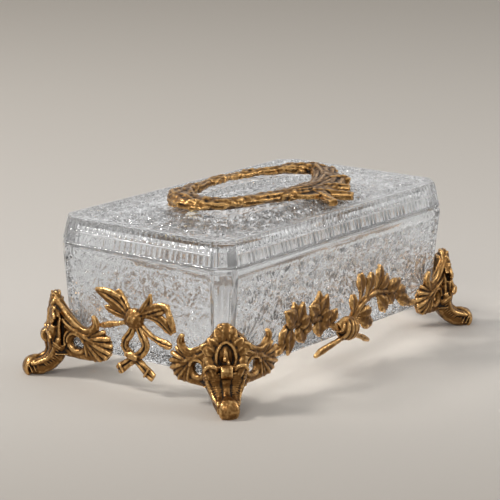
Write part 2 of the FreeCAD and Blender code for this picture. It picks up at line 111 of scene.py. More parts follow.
def leaf_section(angle, share):
    """A leaf's cross-section: creased along the middle, veined towards its edges and flatter behind."""
    across, out = math.cos(angle), math.sin(angle)
    if out < 0:
        return across, 0.7 * out
    crease = 1.0 - 0.75 * math.exp(-(across**2) / 0.035)
    vein = 1.0 + 0.07 * math.sin(34 * share - 9 * abs(across)) * min(1.0, 3 * abs(across))
    return across, out * crease * vein


def ribbed_section(angle, share):
    """A shell rib: rounded, with sharp valleys at its sides."""
    return math.cos(angle), abs(math.sin(angle)) ** 1.4 * math.copysign(1, math.sin(angle))


def squared_section(angle, share):
    """A bar with flattened sides and rounded corners."""
    across, out = math.cos(angle), math.sin(angle)
    return math.copysign(abs(across) ** 0.6, across), math.copysign(abs(out) ** 0.6, out)


def bark(run):
    """A branch's cross-section for a branch of some length: long split strips, with lumps that wander."""

    def section(angle, share):
        across, out = math.cos(angle), math.sin(angle)
        along = share * run
        lump = 0.24 * noise.noise(Vector((across, out, along / 17)))
        lump += 0.10 * noise.noise(Vector((across * 2, out * 2, along / 6)))
        strip = 0.20 * noise.noise(Vector((across * 3.4, out * 3.4, along / 22)))
        split = 0.12 * abs(math.sin(3.5 * angle + along / 14)) ** 8
        size = 1.0 + lump + strip - split
        return across * size, out * size

    return section


def add_strap(bm, stations, face, sides=14, steps=5, section=oval_section):
    """A tapering bar through stations of (place, width, thickness), its broad side towards face."""
    rows = smooth_path([(*place, width, thick) for place, width, thick in stations], steps)
    count = len(rows)
    face = Vector(face)

    def place(column, row):
        middle = Vector(rows[row][:3])
        run = Vector(rows[min(row + 1, count - 1)][:3]) - Vector(rows[max(row - 1, 0)][:3])
        side = run.cross(face).normalized()
        out = side.cross(run).normalized()
        across, up = section(2 * math.pi * column / sides, row / (count - 1))
        return middle + side * (across * rows[row][3] / 2) + out * (up * rows[row][4] / 2)

    wrap_grid(bm, sides, count - 1, place)


def add_bar(bm, at, rows, face, sides=14, steps=5, section=oval_section):
    """A strap from rows of five: three measures that at() turns into a place, a width and a thickness."""
    stations = [(at(*row[:3]), row[3], row[4]) for row in rows]
    add_strap(bm, stations, face, sides, steps, section)


def add_blob(bm, middle, radii, detail=3):
    """A rounded lump, or a faceted one at a low detail."""
    matrix = Matrix.Translation(middle) @ Matrix.Diagonal((*radii, 1.0))
    bmesh.ops.create_icosphere(bm, subdivisions=detail, radius=1.0, matrix=matrix)


def add_plate(bm, outline, at, low, high):
    """A flat plate: an outline of (along, up), from one distance out to another."""
    ring = bmesh.ops.create_circle(bm, cap_ends=True, segments=len(outline), radius=1.0)["verts"]
    for vert, (along, up) in zip(ring, outline):
        vert.co = at(along, low, up)
    made = bmesh.ops.extrude_face_region(bm, geom=[ring[0].link_faces[0]])["geom"]
    raised = [item for item in made if isinstance(item, bmesh.types.BMVert)]
    bmesh.ops.translate(bm, verts=raised, vec=at(0.0, high, 0.0) - at(0.0, low, 0.0))


def add_leaf(bm, base, tip, width, thick, face, lift=1.5, fullness=0.5, blunt=0.12):
    """A cast leaf from base to tip, bowed towards face. fullness is how far along it is widest."""
    base, tip, face = Vector(base), Vector(tip), Vector(face)
    stations = []
    for share in (0.0, 0.15, 0.35, 0.55, 0.75, 0.9, 1.0):
        bow = 4 * share * (1 - share) * lift
        swell = math.sin(math.pi * share ** (math.log(0.5) / math.log(fullness)))
        size = width * max(swell**0.8, blunt if share > 0.5 else 0.25)
        stations.append((base.lerp(tip, share) + face * bow, size, thick * (0.55 + 0.45 * max(swell, 0.0))))
    add_strap(bm, stations, face, sides=18, steps=5, section=leaf_section)


def add_volute(bm, middle, radius, right, up, out, bar, turns=1.6):
    """A scroll: a bar that winds in to a raised eye."""
    middle, right, up, out = Vector(middle), Vector(right), Vector(up), Vector(out)
    stations = []
    count = 14
    for i in range(count + 1):
        share = i / count
        angle = 2 * math.pi * turns * share
        reach = radius * (1 - 0.82 * share)
        place = middle + right * (reach * math.cos(angle)) + up * (reach * math.sin(angle))
        place += out * (1.2 * share)
        stations.append((place, bar * (1.2 - 0.5 * share), bar))
    add_strap(bm, stations, out, sides=8, steps=3)
    add_blob(bm, middle + out * 1.4, (radius * 0.32,) * 3)


def as_object(name, bm):
    """A mesh object from a bmesh, with its faces turned outwards."""
    bmesh.ops.recalc_face_normals(bm, faces=bm.faces)
    mesh = bpy.data.meshes.new(name)
    bm.to_mesh(mesh)
    bm.free()
    obj = bpy.data.objects.new(name, mesh)
    bpy.context.scene.collection.objects.link(obj)
    return obj


RELIEF_ROUNDS = 30


def cast(name, bm, voxel, grain, floor=None):
    """Melts overlapping parts into one casting, roughens it and stores its relief for the patina, painted
    shade and painted highlights.
    """
    rough = as_object(f"{name}_pattern", bm)
    remesh = rough.modifiers.new("melt", "REMESH")
    remesh.mode = "VOXEL"
    remesh.voxel_size = voxel
    melted = bpy.data.meshes.new_from_object(rough.evaluated_get(bpy.context.evaluated_depsgraph_get()))
    bpy.data.objects.remove(rough)
    skin = bmesh.new()
    skin.from_mesh(melted)
    axes = {"use_axis_x": True, "use_axis_y": True, "use_axis_z": True}
    bmesh.ops.smooth_vert(skin, verts=skin.verts, factor=0.5, **axes)
    skin.normal_update()
    for vert in skin.verts:
        chisel = noise.noise(vert.co * 0.28) + 0.5 * noise.noise(vert.co * 0.75)
        vert.co += vert.normal * (grain * chisel)
        if floor is not None:
            vert.co.z = max(vert.co.z, floor)
    skin.normal_update()
    # Relief is how far the skin stands out from a smoothed copy of itself.
    sharp = [(vert.co.copy(), vert.normal.copy()) for vert in skin.verts]
    for _ in range(RELIEF_ROUNDS):
        bmesh.ops.smooth_vert(skin, verts=skin.verts, factor=0.6, **axes)
    relief = [(co - vert.co).dot(normal) for vert, (co, normal) in zip(skin.verts, sharp)]
    for vert, (co, _) in zip(skin.verts, sharp):
        vert.co = co
    skin.to_mesh(melted)
    skin.free()
    melted.attributes.new("relief", "FLOAT", "POINT").data.foreach_set("value", relief)
    melted.name = name
    obj = bpy.data.objects.new(name, melted)
    bpy.context.scene.collection.objects.link(obj)
    return obj


def finish_piece(obj, material, body, slot, *nodes, turn=0.0, move=(0.0, 0.0, 0.0), crisp=None):
    """Turns and moves a finished piece in its mesh, brings it to metres and ties it to the frame."""
    obj.data.transform(Matrix.Scale(MM, 4) @ Matrix.Translation(move) @ Matrix.Rotation(turn, 4, "Z"))
    obj.data.materials.clear()
    obj.data.materials.append(material)
    obj.data.shade_smooth()
    if crisp is not None:
        obj.data.set_sharp_from_angle(angle=math.radians(crisp))
    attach(obj, body)
    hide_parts(*nodes)


def copy_piece(obj, name):
    twin = bpy.data.objects.new(name, obj.data.copy())
    bpy.context.scene.collection.objects.link(twin)
    return twin


# Materials


def new_material(name):
    material = bpy.data.materials.new(name)
    material.use_nodes = True
    return material, material.node_tree, material.node_tree.nodes["Principled BSDF"]


def add_node(tree, kind, **settings):
    node = tree.nodes.new(kind)
    for key, value in settings.items():
        if key in node.inputs:
            node.inputs[key].default_value = value
        else:
            setattr(node, key, value)
    return node


def add_ramp(tree, source, stops):
    """A colour ramp with stops of (place, colour)."""
    ramp = tree.nodes.new("ShaderNodeValToRGB")
    elements = ramp.color_ramp.elements
    while len(elements) < len(stops):
        elements.new(0.5)
    for element, (place, colour) in zip(elements, stops):
        element.position = place
        element.color = (*colour, 1.0)
    tree.links.new(source, ramp.inputs["Fac"])
    return ramp


def mottle_group():
    """Cloudy mottling at two sizes, as a mask and as a fine height."""
    tree = bpy.data.node_groups.new("mottle", "ShaderNodeTree")
    tree.interface.new_socket("Scale", in_out="INPUT", socket_type="NodeSocketFloat").default_value = 200.0
    tree.interface.new_socket("Mask", in_out="OUTPUT", socket_type="NodeSocketFloat")
    tree.interface.new_socket("Height", in_out="OUTPUT", socket_type="NodeSocketFloat")
    inlet = tree.nodes.new("NodeGroupInput")
    outlet = tree.nodes.new("NodeGroupOutput")
    place = tree.nodes.new("ShaderNodeTexCoord")
    coarse = add_node(tree, "ShaderNodeTexNoise", Detail=5.0, Roughness=0.6)
    fine = add_node(tree, "ShaderNodeTexNoise", Detail=4.0, Roughness=0.7)
    finer = add_node(tree, "ShaderNodeMath", operation="MULTIPLY")
    finer.inputs[1].default_value = 6.0
    tree.links.new(inlet.outputs["Scale"], coarse.inputs["Scale"])
    tree.links.new(inlet.outputs["Scale"], finer.inputs[0])
    tree.links.new(finer.outputs[0], fine.inputs["Scale"])
    for texture in (coarse, fine):
        tree.links.new(place.outputs["Object"], texture.inputs["Vector"])
    tree.links.new(coarse.outputs["Fac"], outlet.inputs["Mask"])
    tree.links.new(fine.outputs["Fac"], outlet.inputs["Height"])
    return tree


MOTTLE = mottle_group()
# How much of the brass's shade is mottling.
MOTTLE_SHARE = 0.34
# What is left of lamp light behind each skin of glass.
LAMP_SHARE = 0.87
# The darkest brass colour, for the hollows: patina together with painted shade.
HOLLOW_PATINA_AND_SHADE = (0.014, 0.007, 0.0025)


def add_mottle(tree, scale):
    node = tree.nodes.new("ShaderNodeGroup")
    node.node_tree = MOTTLE
    node.inputs["Scale"].default_value = scale
    return node


def brass_material(name, relief_depth, hollow, mid, high):
    """Antiqued brass: dark in its hollows from patina and painted shade, bright on its high places from
    rubbing and painted highlights, mottled between.
    """
    material, tree, shader = new_material(name)
    relief = add_node(tree, "ShaderNodeAttribute", attribute_name="relief")
    share = add_node(tree, "ShaderNodeMapRange")
    share.inputs["From Min"].default_value = -relief_depth
    share.inputs["From Max"].default_value = relief_depth
    mottle = add_mottle(tree, 240.0)
    blend = add_node(tree, "ShaderNodeMath", operation="MULTIPLY_ADD")
    blend.inputs[1].default_value = MOTTLE_SHARE
    centred = add_node(tree, "ShaderNodeMath", operation="SUBTRACT")
    centred.inputs[1].default_value = MOTTLE_SHARE / 2
    tree.links.new(relief.outputs["Fac"], share.inputs["Value"])
    tree.links.new(share.outputs["Result"], centred.inputs[0])
    tree.links.new(mottle.outputs["Mask"], blend.inputs[0])
    tree.links.new(centred.outputs[0], blend.inputs[2])
    # Low relief gets patina with painted shade, high relief gets rubbed brass with painted highlights.
    colour = add_ramp(tree, blend.outputs[0], [(0.20, hollow), (0.46, mid), (0.62, mid), (0.92, high)])
    polish = add_ramp(tree, blend.outputs[0], [(0.2, (0.6,) * 3), (0.55, (0.38,) * 3), (0.85, (0.27,) * 3)])
    metal = add_ramp(tree, blend.outputs[0], [(0.1, (0.55,) * 3), (0.4, (1.0,) * 3)])
    bump = add_node(tree, "ShaderNodeBump", Strength=0.18, Distance=0.0003)
    tree.links.new(mottle.outputs["Height"], bump.inputs["Height"])
    tree.links.new(colour.outputs["Color"], shader.inputs["Base Color"])
    tree.links.new(polish.outputs["Color"], shader.inputs["Roughness"])
    tree.links.new(metal.outputs["Color"], shader.inputs["Metallic"])
    tree.links.new(bump.outputs["Normal"], shader.inputs["Normal"])
    return material


def crystal_material():
    """Clear pressed crystal with the faint ripple of its mould."""
    material, tree, shader = new_material("pressed_crystal")
    shader.inputs["Transmission Weight"].default_value = 0.955
    shader.inputs["IOR"].default_value = 1.47
    mottle = add_mottle(tree, 60.0)
    tint = add_ramp(tree, mottle.outputs["Mask"], [(0.3, (0.985, 0.99, 0.993)), (0.7, (1.0, 1.0, 1.0))])
    haze = add_ramp(tree, mottle.outputs["Height"], [(0.35, (0.004,) * 3), (0.75, (0.035,) * 3)])
    bump = add_node(tree, "ShaderNodeBump", Strength=0.12, Distance=0.0004)
    tree.links.new(tint.outputs["Color"], shader.inputs["Base Color"])
    tree.links.new(haze.outputs["Color"], shader.inputs["Roughness"])
    tree.links.new(mottle.outputs["Mask"], bump.inputs["Height"])
    tree.links.new(bump.outputs["Normal"], shader.inputs["Normal"])
    # Lamp light passes through, so the box throws a pale shadow and lights its own inside.
    clear = tree.nodes.new("ShaderNodeBsdfTransparent")
    clear.inputs["Color"].default_value = (LAMP_SHARE, LAMP_SHARE, LAMP_SHARE, 1.0)
    path = tree.nodes.new("ShaderNodeLightPath")
    mix = tree.nodes.new("ShaderNodeMixShader")
    tree.links.new(path.outputs["Is Shadow Ray"], mix.inputs["Fac"])
    tree.links.new(shader.outputs[0], mix.inputs[1])
    tree.links.new(clear.outputs[0], mix.inputs[2])
    tree.links.new(mix.outputs[0], tree.nodes["Material Output"].inputs["Surface"])
    return material


def plain_material(name, dark, light, roughness, metallic):
    """A small fitting's finish, mottled between two colours."""
    material, tree, shader = new_material(name)
    mottle = add_mottle(tree, 500.0)
    colour = add_ramp(tree, mottle.outputs["Mask"], [(0.35, dark), (0.65, light)])
    tree.links.new(colour.outputs["Color"], shader.inputs["Base Color"])
    shader.inputs["Roughness"].default_value = roughness
    shader.inputs["Metallic"].default_value = metallic
    return material


# The last colour of each brass is rubbed brass together with a painted highlight on the high places.
BRASS = brass_material("antique_brass", 0.40, HOLLOW_PATINA_AND_SHADE, (0.20, 0.099, 0.032), (0.67, 0.405, 0.16))
BARK = brass_material("antique_brass_bark", 0.36, HOLLOW_PATINA_AND_SHADE, (0.195, 0.098, 0.032), (0.56, 0.33, 0.125))
CRYSTAL = crystal_material()
STEEL = plain_material("plated_hardware", (0.55, 0.43, 0.24), (0.68, 0.55, 0.33), 0.35, 1.0)
SILICONE = plain_material("clear_silicone", (0.72, 0.73, 0.72), (0.82, 0.83, 0.82), 0.45, 0.0)


# Crystal box and lid: skins wrapped round a rectangle with cut corners


def octagon_sides(inset):
    """The corners of the clipped rectangle, moved in by an inset, starting at the front left."""
    hx, hy = HALF_X - inset, HALF_Y - inset
    cut = max(CORNER_CUT - inset * (2 - math.sqrt(2)), 0.5)
    return [
        (-hx + cut, -hy), (hx - cut, -hy), (hx, -hy + cut), (hx, hy - cut),
        (hx - cut, hy), (-hx + cut, hy), (-hx, hy - cut), (-hx, -hy + cut),
    ]


SLANT = 0.7071
SIDE_NORMALS = [
    (0, -1), (SLANT, -SLANT), (1, 0), (SLANT, SLANT),
    (0, 1), (-SLANT, SLANT), (-1, 0), (-SLANT, -SLANT),
]
CORNER_LENGTH = CORNER_CUT * 1.414
SIDE_LENGTHS = [2 * (HALF_X - CORNER_CUT), CORNER_LENGTH, 2 * (HALF_Y - CORNER_CUT), CORNER_LENGTH] * 2
# Edges of the glass that turn by more than this many degrees stay crisp.
GLASS_CREASE = 26
# The pressed lace: its fans' spacing, that of its rows as a share of it, and how far fans stray.
FAN_PITCH = 15.0
ROW_SHARE = 0.87
FAN_STRAY = 0.42
# The fans stray by a noise that starts from this seed, so every run presses the same lace.
LACE_SEED = 2
noise.seed_set(LACE_SEED)
# The large fan at each lower corner of a wall.
BURST_ALONG = 9
BURST_HEIGHT = 12
BURST_REACH = 21
BURST_RAYS = 22
# The rays pressed into the underside.
RAY_PITCH = 8.0
RAY_DEPTH = 1.3


def wrap_columns(pitch):
    """Columns round the clipped rectangle, as (side, share of the way along it)."""
    columns = []
    for side, length in enumerate(SIDE_LENGTHS):
        count = max(6, round(length / pitch))
        columns += [(side, k / count) for k in range(count)]
    return columns


def on_octagon(column, inset, z, depth=0.0):
    """A point on the clipped rectangle, sunk by a depth."""
    side, share = column
    corners = octagon_sides(inset)
    x0, y0 = corners[side]
    x1, y1 = corners[(side + 1) % 8]
    nx, ny = SIDE_NORMALS[side]
    return Vector((x0 + (x1 - x0) * share - nx * depth, y0 + (y1 - y0) * share - ny * depth, z))


def zigzag(value):
    """0 at whole numbers and 1 half way between."""
    return 1 - abs(2 * (value % 1.0) - 1)


def ease(low, high, value):
    t = min(max((value - low) / (high - low), 0.0), 1.0)
    return t * t * (3 - 2 * t)


def fan_centre(i, j):
    """A fan's middle in its cell of the pressed lace, with its count of rays and their turn."""
    spot = Vector((i * 3.7, j * 5.3, 1.9))
    dx, dy, dz = noise.noise_vector(spot)
    x = (i + 0.5 * (j % 2) + FAN_STRAY * dx) * FAN_PITCH
    y = (j + FAN_STRAY * dy) * FAN_PITCH * ROW_SHARE
    return x, y, 10 + (3 * i + 5 * j) % 5, 6 * dz


def lace_cut(x, y):
    """Depth of the pressed lace: rayed fans that meet at grooves."""
    column = round(x / FAN_PITCH)
    row = round(y / (FAN_PITCH * ROW_SHARE))
    near = []
    for j in range(row - 1, row + 2):
        for i in range(column - 2, column + 2):
            cx, cy, rays, turn = fan_centre(i, j)
            near.append((math.hypot(x - cx, y - cy), math.atan2(y - cy, x - cx), rays, turn))
    near.sort()
    reach, angle, rays, turn = near[0]
    edge = near[1][0] - reach
    ray = zigzag(angle * rays / (2 * math.pi) + turn)
    depth = (0.15 + 0.95 * ray) * ease(0.8, 4.0, reach) * ease(0.2, 1.2, edge)
    return depth + 0.6 * (1 - ease(0.0, 1.1, edge))


def wall_cut(side, share, height):
    """How deep the box's wall is cut: flutes at the cut corners, and lace with large fans elsewhere."""
    length = SIDE_LENGTHS[side]
    if side % 2:
        flute = 1 - (2 * ((share * 4) % 1.0) - 1) ** 2
        return 0.55 * flute * ease(4.0, 9.0, height) * (1 - ease(56.0, 60.0, height))
    along = (share - 0.5) * length
    depth = lace_cut(along + 40 * side, height)
    corner_run = length / 2 - abs(along)
    along_burst = corner_run - BURST_ALONG
    up_burst = height - BURST_HEIGHT
    reach = math.hypot(along_burst, up_burst)
    if reach < BURST_REACH:
        ray = zigzag(math.atan2(up_burst, along_burst) * BURST_RAYS / (2 * math.pi))
        fade = ease(BURST_REACH - 4, BURST_REACH, reach)
        depth = depth * fade + ray * ease(2, 7, reach) * (1 - fade)
    margin = ease(0.0, 2.5, corner_run) * ease(0.6, 2.0, height) * (1 - ease(58.0, 61.0, height))
    return depth * margin


def base_cut(side, share):
    """How deep the rays are pressed into the underside."""
    count = max(2, round(SIDE_LENGTHS[side] / RAY_PITCH))
    return RAY_DEPTH * zigzag(share * count)


def make_crystal_box():
    """The box, from the middle of its underside out, up the walls, over the rim and down to its floor."""
    columns = wrap_columns(0.75)
    height = RIM_Z - BASE_Z
    rows = [(BODY_DRAFT + 56 - 6 * k, 0.2, "rays") for k in range(8)]
    lower_edge = [(BODY_DRAFT + 1.8, 0.0), (BODY_DRAFT + 0.5, 0.35), (BODY_DRAFT, 1.4)]
    rows += [(inset, h, "plain") for inset, h in lower_edge]
    steps = 74
    for k in range(1, steps):
        h = 1.4 + (height - 3.2) * k / steps
        rows.append((BODY_DRAFT * (1 - h / height), h, "lace"))
    rim_and_well = [(0.3, height - 1.6), (0.7, height - 0.6), (1.9, height)]
    rim_and_well += [(BODY_WALL - 1.0, height), (BODY_WALL, height - 1.0)]
    lean = BODY_DRAFT * (height - BODY_FLOOR) / height
    for k in range(1, 9):
        share = k / 8
        rim_and_well.append((BODY_WALL + lean * share, height - 1.0 - (height - BODY_FLOOR - 3) * share))
    rim_and_well += [(BODY_WALL + lean + inset, BODY_FLOOR) for inset in (2.0, 20, 48)]
    rows += [(inset, h, "plain") for inset, h in rim_and_well]

    def place(column, row):
        inset, h, cut = rows[row]
        side, share = columns[column]
        if cut == "rays":
            return on_octagon(columns[column], inset, BASE_Z + h + base_cut(side, share))
        depth = wall_cut(side, share, h) if cut == "lace" else 0.0
        return on_octagon(columns[column], inset, BASE_Z + h, depth)

    bm = bmesh.new()
    wrap_grid(bm, len(columns), len(rows) - 1, place)
    box = as_object("crystal_box", bm)
    finish_piece(box, CRYSTAL, "casket", "crystal", "glass_box", crisp=GLASS_CREASE)


LID_COLUMNS = wrap_columns(1.0)
# The lid's side: where its ridge runs, as a share of the height, and the spacing of its flutes.
LID_RIDGE = 0.55
FLUTE_PITCH = 4.3
# How far in the lid's hollow starts.
LID_HOLLOW = 12.5
# Half sizes of the oval swell under the wreath and of the sunk panel inside it.
COLLAR = (75.0, 37.0)
PANEL = (58.0, 23.0)
# Rings of the panel, as (share of its half sizes, depth, fluting).
PANEL_RINGS = [
    (1.05, 0.0, 0.0), (1.01, 0.3, 0.0), (1.0, 1.2, 0.02), (0.99, 3.0, 0.035),
    (0.97, 4.8, 0.03), (0.94, 5.5, 0.0), (0.86, 5.5, 0.0), (0.82, 4.9, 0.0),
    (0.78, 5.5, 0.0), (0.5, 5.2, 0.06), (0.2, 5.2, 0.06),
]
# Counts round the swell and round the panel.
PETALS = 40
PANEL_FLUTES = 44


def lid_flute(side, share, rise):
    """How deep the lid's side is fluted: two tiers with a ridge between, and one at the cut corners."""
    count = max(4, round(SIDE_LENGTHS[side] / FLUTE_PITCH))
    scoop = 1 - (2 * ((share * count) % 1.0) - 1) ** 2
    if side % 2:
        return 0.7 * scoop * ease(0.04, 0.14, rise) * (1 - ease(0.88, 0.98, rise))
    ridge = 1 - ease(0.0, 0.07, abs(rise - LID_RIDGE))
    ends = ease(0.05, 0.16, rise) * (1 - ease(0.90, 0.98, rise))
    pearls = 0.5 * zigzag(share * count * 2) * (1 - ease(0.0, 0.06, abs(rise - 0.10)))
    return (0.15 + 0.8 * scoop) * ends * (1 - 0.65 * ridge) - 0.2 * ridge + pearls


def on_lid_top(column, share, outer, inner, z):
    """A point between the lid's clipped border and an oval, by its share of the way in."""
    edge = on_octagon(LID_COLUMNS[column], outer, z)
    a, b = inner
    angle = math.atan2(edge.y / b, edge.x / a)
    return edge.lerp(Vector((a * math.cos(angle), b * math.sin(angle), z)), share)


def make_crystal_lid():
    """The lid, from the middle of its ceiling over the lip, up the fluted sides and in to the panel."""
    height = LID_TOP_Z - RIM_Z
    lip = BODY_WALL + 0.6
    rows = []

    def ring(inset, z):
        rows.append(lambda column: on_octagon(LID_COLUMNS[column], inset, z))

    for inset, z in (
        (55, CEILING_Z), (30, CEILING_Z), (LID_HOLLOW + 2, CEILING_Z), (LID_HOLLOW, CEILING_Z - 2),
        (LID_HOLLOW, LIP_Z + 0.5), (LID_HOLLOW + 0.4, LIP_Z), (lip + 0.6, LIP_Z), (lip + 0.3, LIP_Z + 0.6),
        (lip, RIM_Z), (2.2, RIM_Z), (0.8, RIM_Z + 0.4),
    ):
        ring(inset, z)

    def side_row(rise):
        inset = 0.3 + (LID_INSET - 0.3) * rise

        def place(column):
            side, share = LID_COLUMNS[column]
            depth = lid_flute(side, share, rise)
            return on_octagon(LID_COLUMNS[column], inset, RIM_Z + height * rise, depth)

        rows.append(place)

    steps = 26
    for k in range(1, steps):
        side_row(0.04 + 0.93 * k / steps)
    ring(LID_INSET + 0.15, LID_TOP_Z - 0.35)
    ring(LID_INSET + 0.5, LID_TOP_Z - 0.08)

    def top_row(share):
        rise = (SEAT_Z - LID_TOP_Z) * ease(0.12, 1.0, share)

        def place(column):
            point = on_lid_top(column, share, LID_INSET + 1.2, COLLAR, LID_TOP_Z + rise)
            turn = math.atan2(point.y * 1.6, point.x)
            rays = zigzag(turn * PETALS / (2 * math.pi))
            band = ease(0.10, 0.16, share) * (1 - ease(0.78, 0.84, share))
            petals = ease(0.80, 0.86, share) * (1 - ease(0.95, 1.0, share))
            point.z -= 1.7 * lace_cut(point.x, point.y) * band + 0.6 * rays * petals
            # A groove inside the lid's border.
            point.z -= 0.6 * (1 - ease(0.0, 0.03, abs(share - 0.08)))
            return point

        rows.append(place)

    steps = 60
    for k in range(steps + 1):
        top_row(k / steps)

    def panel_row(scale, sink, fluted):
        a, b = PANEL[0] * scale, PANEL[1] * scale

        def place(column):
            edge = on_octagon(LID_COLUMNS[column], LID_INSET, SEAT_Z - sink)
            angle = math.atan2(edge.y / COLLAR[1], edge.x / COLLAR[0])
            grow = 1.0 + fluted * zigzag(angle * PANEL_FLUTES / (2 * math.pi))
            return Vector((a * grow * math.cos(angle), b * grow * math.sin(angle), SEAT_Z - sink))

        rows.append(place)

    for scale, sink, fluted in PANEL_RINGS:
        panel_row(scale, sink, fluted)

    bm = bmesh.new()
    wrap_grid(bm, len(LID_COLUMNS), len(rows) - 1, lambda column, row: rows[row](column))
    lid = as_object("crystal_lid", bm)
    finish_piece(lid, CRYSTAL, "lid", "crystal", "glass_lid", crisp=GLASS_CREASE)


# Wreath: an oval gnarled branch with cut twigs

WREATH_HALF = (68.0, 30.5)
WREATH_Z = SEAT_Z + 3.0
UP = (0.0, 0.0, 1.0)
# Cut twigs as (root, bend, tip, thickness).
TWIGS = [
    ((42, -25, 107.4), (49, -29, 107.2), (55, -32, 106.8), 7.0),
    ((22, -33, 106.8), (29, -40, 106.4), (34, -48, 106.0), 6.8),
    ((9, -37, 106.6), (14, -48, 105.8), (20, -60, 105.2), 6.4),
    ((10, -39, 106.2), (3, -50, 105.4), (-3, -61, 104.9), 5.8),
]
# Outline of the web that the twigs split from.
FAN_WEB = [
    (-20, -31), (-10, -37), (-4, -44), (1, -47), (7, -43), (13, -45), (18, -43), (22, -38),
    (28, -40), (34, -35), (44, -29), (54, -22), (62, -8), (44, -19), (20, -29),
]
# The web's run as (x, y, width), and the bark strips over it as (share of the width, lift, thickness).
FAN_RUN = [(-16, -31, 3.0), (4, -34, 6.0), (24, -32, 9.0), (42, -24, 10.0), (57, -13, 8.0), (67, 1, 4.0)]
FAN_STRIPS = [(-0.55, -0.8, 6.4), (-0.1, 0.6, 7.0), (0.35, -0.2, 6.8), (0.8, -1.0, 6.0)]
# Thinner stems that twine with the branch, as (first angle, last angle, lift).
TWINES = [(1.5, 3.6, 1.6), (3.3, 5.0, 0.8)]
# Burls on the branch as (first angle, last angle, distance out, lift, width, thickness).
WREATH_BURLS = [
    (2.05, 3.85, 2.0, 0.6, 18.0, 9.4), (-0.45, 0.75, 0.0, 0.5, 12.0, 7.6),
    (2.30, 2.80, 5.0, 1.6, 10.0, 8.0), (2.60, 3.10, -3.6, 1.8, 9.5, 7.0),
    (2.95, 3.55, 5.0, 1.0, 10.0, 7.6), (1.95, 2.25, -1.6, 1.0, 7.0, 6.0),
    (3.70, 4.00, 2.2, 0.8, 7.6, 6.4), (4.05, 4.45, -1.8, 0.9, 8.0, 6.4),
    (4.35, 4.75, 2.2, 0.4, 8.6, 6.6), (0.25, 0.70, 2.2, 0.9, 7.6, 6.2),
    (-0.20, 0.20, -2.0, 1.0, 8.0, 6.2), (0.95, 1.25, 1.0, 0.5, 6.4, 5.4),
    (1.50, 1.80, -1.0, 0.6, 6.6, 5.4), (5.75, 6.10, 2.0, 0.8, 9.0, 6.2),
]
BURL_END = 4.0


def on_wreath(angle, grow_x, grow_y, lift):
    """A place on the wreath's oval, grown along X and Y and lifted."""
    a, b = WREATH_HALF[0] + grow_x, WREATH_HALF[1] + grow_y
    return Vector((a * math.cos(angle), b * math.sin(angle), WREATH_Z + lift))


def add_branch(bm):
    """The closed branch: thickest along the near side and at the far left, and swaying as it goes."""
    count = 44
    stations = []
    for k in range(count + 1):
        angle = 2 * math.pi * (k % count) / count
        step = (k % count) * 0.9
        sway = Vector((noise.noise(Vector((step, 3.0, 0.0))), noise.noise(Vector((step, 7.0, 0.0))), 0.0))
        near = 0.5 - 0.5 * math.sin(angle)
        left = max(0.0, math.cos(angle - 2.75)) ** 2
        right = max(0.0, math.cos(angle - 0.1)) ** 3
        thick = 4.4 + 3.4 * near + 2.8 * left + 1.8 * right
        place = on_wreath(angle, 0.0, 0.0, 0.0) + sway * 1.5
        stations.append((place, thick * (1.2 + 0.4 * left), thick))
    add_strap(bm, stations, UP, sides=30, steps=8, section=bark(320))


def add_burl(bm, start, end, out, lift, wide, thick):
    """A swelling of bark along part of the branch."""
    steps = 8
    stations = []
    for k in range(steps + 1):
        angle = start + (end - start) * k / steps
        size = math.sin(math.pi * (0.12 + 0.76 * k / steps))
        place = on_wreath(angle, out * size, out * size, lift * size)
        stations.append((place, BURL_END + (wide - BURL_END) * size, BURL_END + (thick - BURL_END) * size))
    add_strap(bm, stations, UP, sides=30, steps=6, section=bark(30 + 9 * wide))


def make_wreath():
    bm = bmesh.new()
    add_branch(bm)
    for start, end, lift in TWINES:
        steps = 12
        twine = []
        for k in range(steps + 1):
            angle = start + (end - start) * k / steps
            wave = math.sin(k * 1.4)
            twine.append((on_wreath(angle, 2.6 * wave, 2.2 * wave, lift * math.cos(k * 1.1)), 4.4, 3.6))
        add_strap(bm, twine, UP, sides=18, steps=6, section=bark(120))
    add_plate(bm, FAN_WEB, lambda x, z, y: Vector((x, y, z)), WREATH_Z - 2.6, WREATH_Z + 0.4)
    for share, lift, thick in FAN_STRIPS:
        strip = []
        for x, y, wide in FAN_RUN:
            place = Vector((x + 0.5 * wide * share, y - wide * share, WREATH_Z + lift))
            strip.append((place, 3.4 + 0.45 * wide, thick))
        add_strap(bm, strip, UP, sides=24, steps=8, section=bark(95 + 40 * share))
    for burl in WREATH_BURLS:
        add_burl(bm, *burl)
    for root, bend, tip, thick in TWIGS:
        twig = [
            (root, thick * 2.2, thick * 1.2),
            (bend, thick * 1.3, thick * 1.05),
            (tip, thick * 1.15, thick),
        ]
        add_strap(bm, twig, UP, sides=20, steps=8, section=bark(25))
    wreath = cast("branch_wreath", bm, 0.5, 0.42, floor=SEAT_Z - 1.8)
    finish_piece(wreath, BARK, "lid", "antique_brass", "wreath_handle")


# Feet: a crest with a cartouche, pierced wings that end in shells, and a scrolled leg on the diagonal

LONG_WING = 1.09
SHORT_WING = 0.87
# Outlines on a wing, as (distance from the corner, height).
CORNER_PLATE = [
    (1.5, 15), (8, 14.5), (14, 17), (14.6, 22), (15.2, 27), (18, 30.5), (22, 33), (18.5, 37),
    (13.4, 41.5), (8, 47.5), (4, 51.5), (1.5, 52.5),
]
SHELL_PLATE = [
    (24.5, 17.5), (29, 14.6), (35, 13.6), (40, 15.4), (43, 19), (44, 23.5), (43, 28), (39.5, 31.2),
    (34.5, 33), (28.5, 32.2), (26, 28),
]
